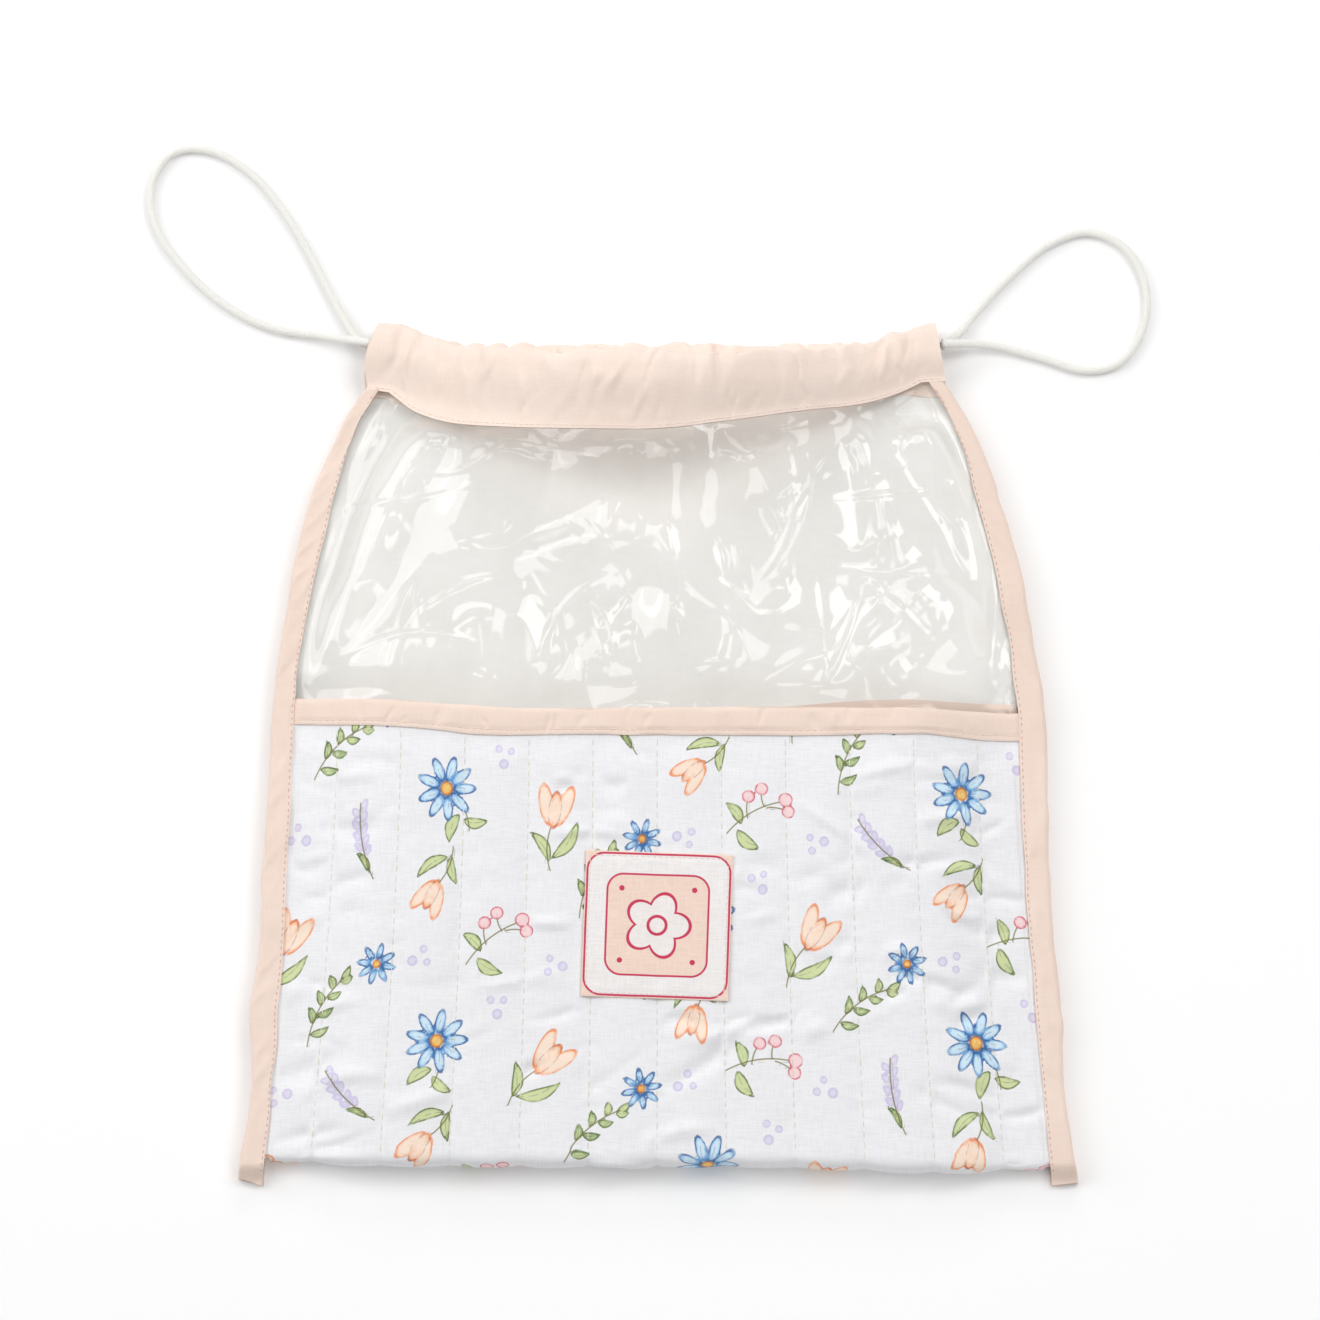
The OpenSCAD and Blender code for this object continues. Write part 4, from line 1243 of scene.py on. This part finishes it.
def casing(name, point, seam_half, node, seed):
    """A cotton tunnel gathered on the cord, with a wavy top fold."""
    outline = casing_outline(seam_half)
    c = np.linspace(-EDGE_C, EDGE_C, 301)
    grid_c, a = np.meshgrid(c, outline[:, 0])
    h = np.repeat(outline[:, 1:2], len(c), axis=1)
    layer = np.sign(h) * ease(np.abs(h) / 1.2)
    side = np.where(h >= 0, 0.0, LAYER_STEP)
    high = ease((a - 3) / 20)
    pleat = soft_noise(grid_c / 8.5 + 0.35 * soft_noise(grid_c / 20, a / 12, seed), a / 42 + side, seed + 1)
    tuck = 1 - 2 * np.abs(soft_noise(grid_c / 15 + a / 40, a / 30 + side, seed + 2))
    crumple = soft_noise(grid_c / 5, a / 7 + side, seed + 3)
    swing = (0.8 * pleat + 0.45 * tuck) * mix(0.3, 1.0, high) + 0.18 * crumple
    for layer_at, layer_seed in ((0, seed + 6), (CREASE_STEP * LAYER_STEP, seed + 7)):
        part = (-150, 150, layer_at + 2, layer_at + CASING_W)
        swing += creases(grid_c, a + CREASE_STEP * side, 70, part, layer_seed, **CASING_CREASES)
    still = ease((EDGE_C - np.abs(grid_c)) / 10) * mix(0.5, 1.0, high)
    scallop = 2.6 * np.abs(soft_noise(grid_c / 13, grid_c * 0, seed + 4)) - 0.9
    scallop = scallop + 0.4 * soft_noise(grid_c / 4.5, grid_c * 0, seed + 5)
    reach = a + scallop * ease((a - 15) / 12) * 0.9
    if point is back_casing_point:
        # The lower edge hangs a little at the left, where it shows under the front one
        hang = ease((np.abs(grid_c) - 70) / 25) * ease((150 - np.abs(grid_c)) / 15)
        reach = reach - np.where(grid_c < 0, 2.8, -1.0) * hang * ease(1 - a / 8)
    else:
        reach = reach + hem_lift(grid_c) * ease(1 - a / 16)
    swing = np.maximum(swing * still, -0.5)
    face = point(grid_c, reach, h + layer * (CASING_T / 2 + swing))
    back = point(grid_c, np.minimum(reach, CASING_W - CASING_T), h + layer * (swing - CASING_T / 2))
    # The left end bulges out round the cord
    bulge = 2.6 * ease((-grid_c - 118) / 38) * np.sin(np.pi * np.clip((a - 1) / 26, 0, 1))
    for layer_points, lowest in ((face, 0.05), (back, 0.35)):
        layer_points[..., 0] -= bulge
        layer_points[..., 2] = np.maximum(layer_points[..., 2], lowest)
    uv = np.stack([grid_c, np.repeat(run_of(outline)[:, None], len(c), axis=1) + 500 + seed], axis=-1)
    # The casing gets the lighter copy of the peach cotton: painted light for the shade on its tilted faces.
    pieces = halves(name, face, back, uv, CASING_PAINTED_LIGHT)
    gather_both(pieces, "peach_cotton", node)
    return outline, face


def casings():
    """Both casings, and the row of stitches near the lower edge of each one's outer layer."""
    edge_w = 1.15
    runs = {"left": [], "right": []}
    front_seam = (WINDOW_T + CASING_T) / 2 + 0.2
    back_seam = (QUILT_T + CASING_T) / 2 + 0.1
    for name, point, seam, node, seed, cut, normal in (
        ("front_hem", front_casing_point, front_seam, "front_casing", 81, (0.142, 0.057), UP),
        ("back_hem", back_casing_point, back_seam, "back_casing", 91, (0.134, 0.049), DOWN),
    ):
        outline, face = casing(name, point, seam, node, seed)
        row = int(np.argmin(np.abs(outline[: len(outline) // 2, 0] - edge_w)))
        if normal is DOWN:
            row = len(outline) - 1 - row
        path = face[row] + 0.04 * np.array(normal)
        middle = len(path) // 2
        runs["left"].append((path[: middle + 1], normal))
        runs["right"].append((path[middle:], normal))
    for side in ("left", "right"):
        name = f"casing_stitches_{side}"
        thread = sew(name, runs[side], HEM_THREAD, pitch=2.4, length=1.7, width=0.5, height=0.42)
        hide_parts("casing_thread")
        gather(thread)


# The bindings: seed, slant of the lower end, and how far the side is drawn in near the bottom
BINDINGS = {"left": (101, 2.2, 2.0), "right": (111, 0.8, 1.2)}
DRAWN_Y, DRAWN_LEN = -137, 17


def binding(side):
    """Cotton tape folded over a side of the bag, flattened together at its lower end."""
    sign = SIGN[side]
    seed, slant, drawn = BINDINGS[side]
    run = np.linspace(0, 1, 300)
    round_w = 2.0
    top = [(-BINDING_W + k * (BINDING_W - round_w), BINDING_TOP) for k in np.linspace(0, 1, 10)]
    for bend in np.linspace(0, np.pi / 2, 7)[1:]:
        top.append((-round_w + round_w * math.sin(bend), BINDING_TOP - round_w + round_w * math.cos(bend)))
    outline = np.array(top + [(x, BINDING_TOP - z) for x, z in top[::-1]])
    shape = (len(run), len(outline))
    x_in = np.broadcast_to(outline[None, :, 0], shape)
    z = np.broadcast_to(outline[None, :, 1], shape)
    share = np.broadcast_to(np.linspace(0, 1, len(outline))[None, :], shape)
    front = share < 0.5
    low = Y_BOTTOM + slant * ease(1 + x_in / BINDING_W)
    high = Y_CASING - 0.15 + hem_lift(sign * EDGE_C) * ease((0.55 - share) / 0.15)
    y = mix(low, high, run[:, None])
    layer = np.where(front, 1.0, 5.0)
    inner = ease((-x_in - 5.5) / 5)
    outer = 0.9 * soft_noise(y / 24, 0 * y + 9, seed + 1) + 0.35 * soft_noise(y / 8, 0 * y + 2, seed + 5)
    # The upper end runs in under the casing's corner
    outer = outer - 0.4 * ease((y - Y_CASING + 15) / 15)
    outer = outer - drawn * np.exp(-(((y - DRAWN_Y) / DRAWN_LEN) ** 2))
    narrow = mix(0.2, 1.5, ease((y + 120) / 110)) if side == "left" else 0.3
    narrow = narrow + 3.0 * ease((y - 98) / 38)
    x_in = x_in + inner * (narrow * front + 0.5 * soft_noise(y / 14, layer, seed)) + (1 - inner) * outer
    ripple = 0.2 * soft_noise(y / 6, share * 6, seed + 2) + 0.32 * soft_noise(y / 16, share * 3, seed + 3)
    pull = 0.3 * (1 - 2 * np.abs(soft_noise(y / 10 + share * 3, share * 4, seed + 4)))
    flat_end = 1 - ease((y - Y_BOTTOM - 0.8) / 6.2)
    z = mix(z, z * 0.3, flat_end)
    raised = np.maximum(ripple + pull, -0.1) * ease((x_in + BINDING_W) / 2.5) * mix(1.0, 0.3, flat_end)
    z = np.where(front, z + raised, z)
    face = points_at(sign * (half_w(y) + x_in), y, np.maximum(z, 0.0))
    turned = ease((outline[None, :, 0] + round_w) / round_w)
    inward_x = -BINDING_T * turned
    inward_z = np.where(front, -1, 1) * BINDING_T * np.clip(1 - 0.6 * turned, 0.2, 1)
    inward_z = mix(inward_z, inward_z * 0.45, flat_end)
    back = face + points_at(sign * inward_x, 0, inward_z)
    uv = np.stack([np.broadcast_to(run_of(outline)[None, :], shape) + 700 + seed, y], axis=-1)
    piece = shell(f"binding_{side}", face, back, uv, PEACH)
    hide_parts(f"{side}_lower_binding", f"{side}_upper_binding")
    gather(piece)
    runs = [(face[4:-2, row] + 0.02 * np.array(normal), normal) for row, normal in ((1, UP), (-2, DOWN))]
    name = f"binding_stitches_{side}"
    thread = sew(name, runs, SEAM_THREAD, pitch=2.5, length=1.25, width=0.38, height=0.24)
    gather(thread)


def label():
    """Cotton patch sewn to the pocket, a little off square."""
    k = np.linspace(-LABEL_W / 2, LABEL_W / 2, 67)
    x, y = np.meshgrid(k, k)
    cos, sin = math.cos(LABEL_TURN), math.sin(LABEL_TURN)
    stitch_in = 1.6
    edge = LABEL_W / 2 - np.maximum(np.abs(x), np.abs(y))
    wave = 0.3 * soft_noise(x / 11, y / 11, 121) * ease((4 - edge) / 4)
    px, py = x + wave * np.sign(x) * 0.4, y + wave * np.sign(y) * 0.4
    world_x, world_y = px * cos - py * sin, px * sin + py * cos + Y_LABEL
    c = world_x * HEM_C / (half_w(world_y) - BINDING_T - EDGE_ROOM - EDGE_C + HEM_C)
    _, line = channel(c)
    under = front_face(c, world_y) + CHANNEL_PUFF * 1.15
    sag = -0.35 * np.exp(-((line / 4.0) ** 2)) + 0.16 * soft_noise(x / 9, y / 7, 122)
    sewn = -0.35 * np.exp(-(((edge - stitch_in) / 0.9) ** 2))
    lift = 0.12 + LABEL_T * ease(edge / 0.7 + 0.35)
    face = points_at(world_x, world_y, under + sag * ease(edge / 6) + sewn + lift)
    low = points_at(world_x, world_y, under + sag * ease(edge / 6) - 0.45)
    piece = shell("label_patch", face, low, np.stack([x, y], axis=-1), LABEL)
    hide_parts("label")
    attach(piece, "bag")
    near = int(np.argmin(np.abs(k - (k[0] + stitch_in))))
    far = len(k) - 1 - near
    square = np.concatenate([
        face[near, near:far], face[near:far, far], face[far, far:near:-1], face[far:near - 1:-1, near]
    ]) + [0, 0, 0.03]
    thread = sew("label_stitches", [(square, UP)], PEACH_THREAD, pitch=2.2, length=1.5, width=0.4, height=0.3)
    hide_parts("label_thread")
    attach(thread, "bag")


quilt_cover()
quilt_stitches()
lining()
window()
band()
facing()
casings()
binding("left")
binding("right")
label()


# Soft boxes with their place and size in metres and their power in watts. Those on the left are the strongest,
# so the bag's shadow falls to the right. The low one behind the mouth brings out the creases that run across the
# quilt, and the window mirrors the narrow ones overhead in streaks.
SOFT_BOXES = {
    "left_box": ((-1.4, 0.65, 1.7), (1.6, 1.3), 14.5),
    "low_box": ((-1.8, 0.6, 0.9), (1.5, 1.1), 11),
    "side_box": ((1.05, 0.85, 1.65), (0.85, 1.05), 11.2),
    "front_box": ((1.1, -1.3, 1.3), (1.2, 0.9), 7.4),
    "back_box": ((0.2, 2.2, 1.1), (1.5, 0.8), 9),
    "top_strip": ((0.45, 0.9, 2.15), (0.3, 1.1), 3),
    "over_left": ((-0.6, 0.36, 2.3), (0.25, 0.7), 1.4),
    "over_near": ((0.29, -0.29, 2.36), (0.2, 0.5), 0.8),
    "over_far": ((-0.24, 1.08, 2.13), (0.5, 0.2), 1.0),
    "over_right": ((0.96, 0.12, 2.2), (0.25, 0.6), 1.2),
}
SURROUND = 0.3


def soft_box(name, place, size, power):
    """A lit panel that faces the middle of the bag."""
    lamp = bpy.data.lights.new(name, "AREA")
    lamp.shape = "RECTANGLE"
    lamp.size, lamp.size_y = size
    lamp.energy = power
    holder = bpy.data.objects.new(name, lamp)
    scene.collection.objects.link(holder)
    holder.location = place
    holder.rotation_euler = (-Vector(place)).to_track_quat("-Z", "Y").to_euler()


def studio():
    """Pale floor, white surround and soft boxes."""
    bpy.ops.mesh.primitive_plane_add(size=8, location=(0, 0, 0))
    ground = bpy.context.object
    ground.name = "floor"
    ground.data.transform(ground.matrix_world)
    ground.matrix_world.identity()
    # A hair below the bag
    for vertex in ground.data.vertices:
        vertex.co.z = -0.0003
    ground.data.materials.append(floor_paint())
    world = bpy.data.worlds.new("surround")
    scene.world = world
    world.use_nodes = True
    world.node_tree.nodes["Background"].inputs[0].default_value = (1.0, 1.0, 1.0, 1.0)
    world.node_tree.nodes["Background"].inputs[1].default_value = SURROUND
    for name, setting in SOFT_BOXES.items():
        soft_box(name, *setting)
    scene.view_settings.view_transform = "Standard"
    scene.view_settings.look = "None"


studio()
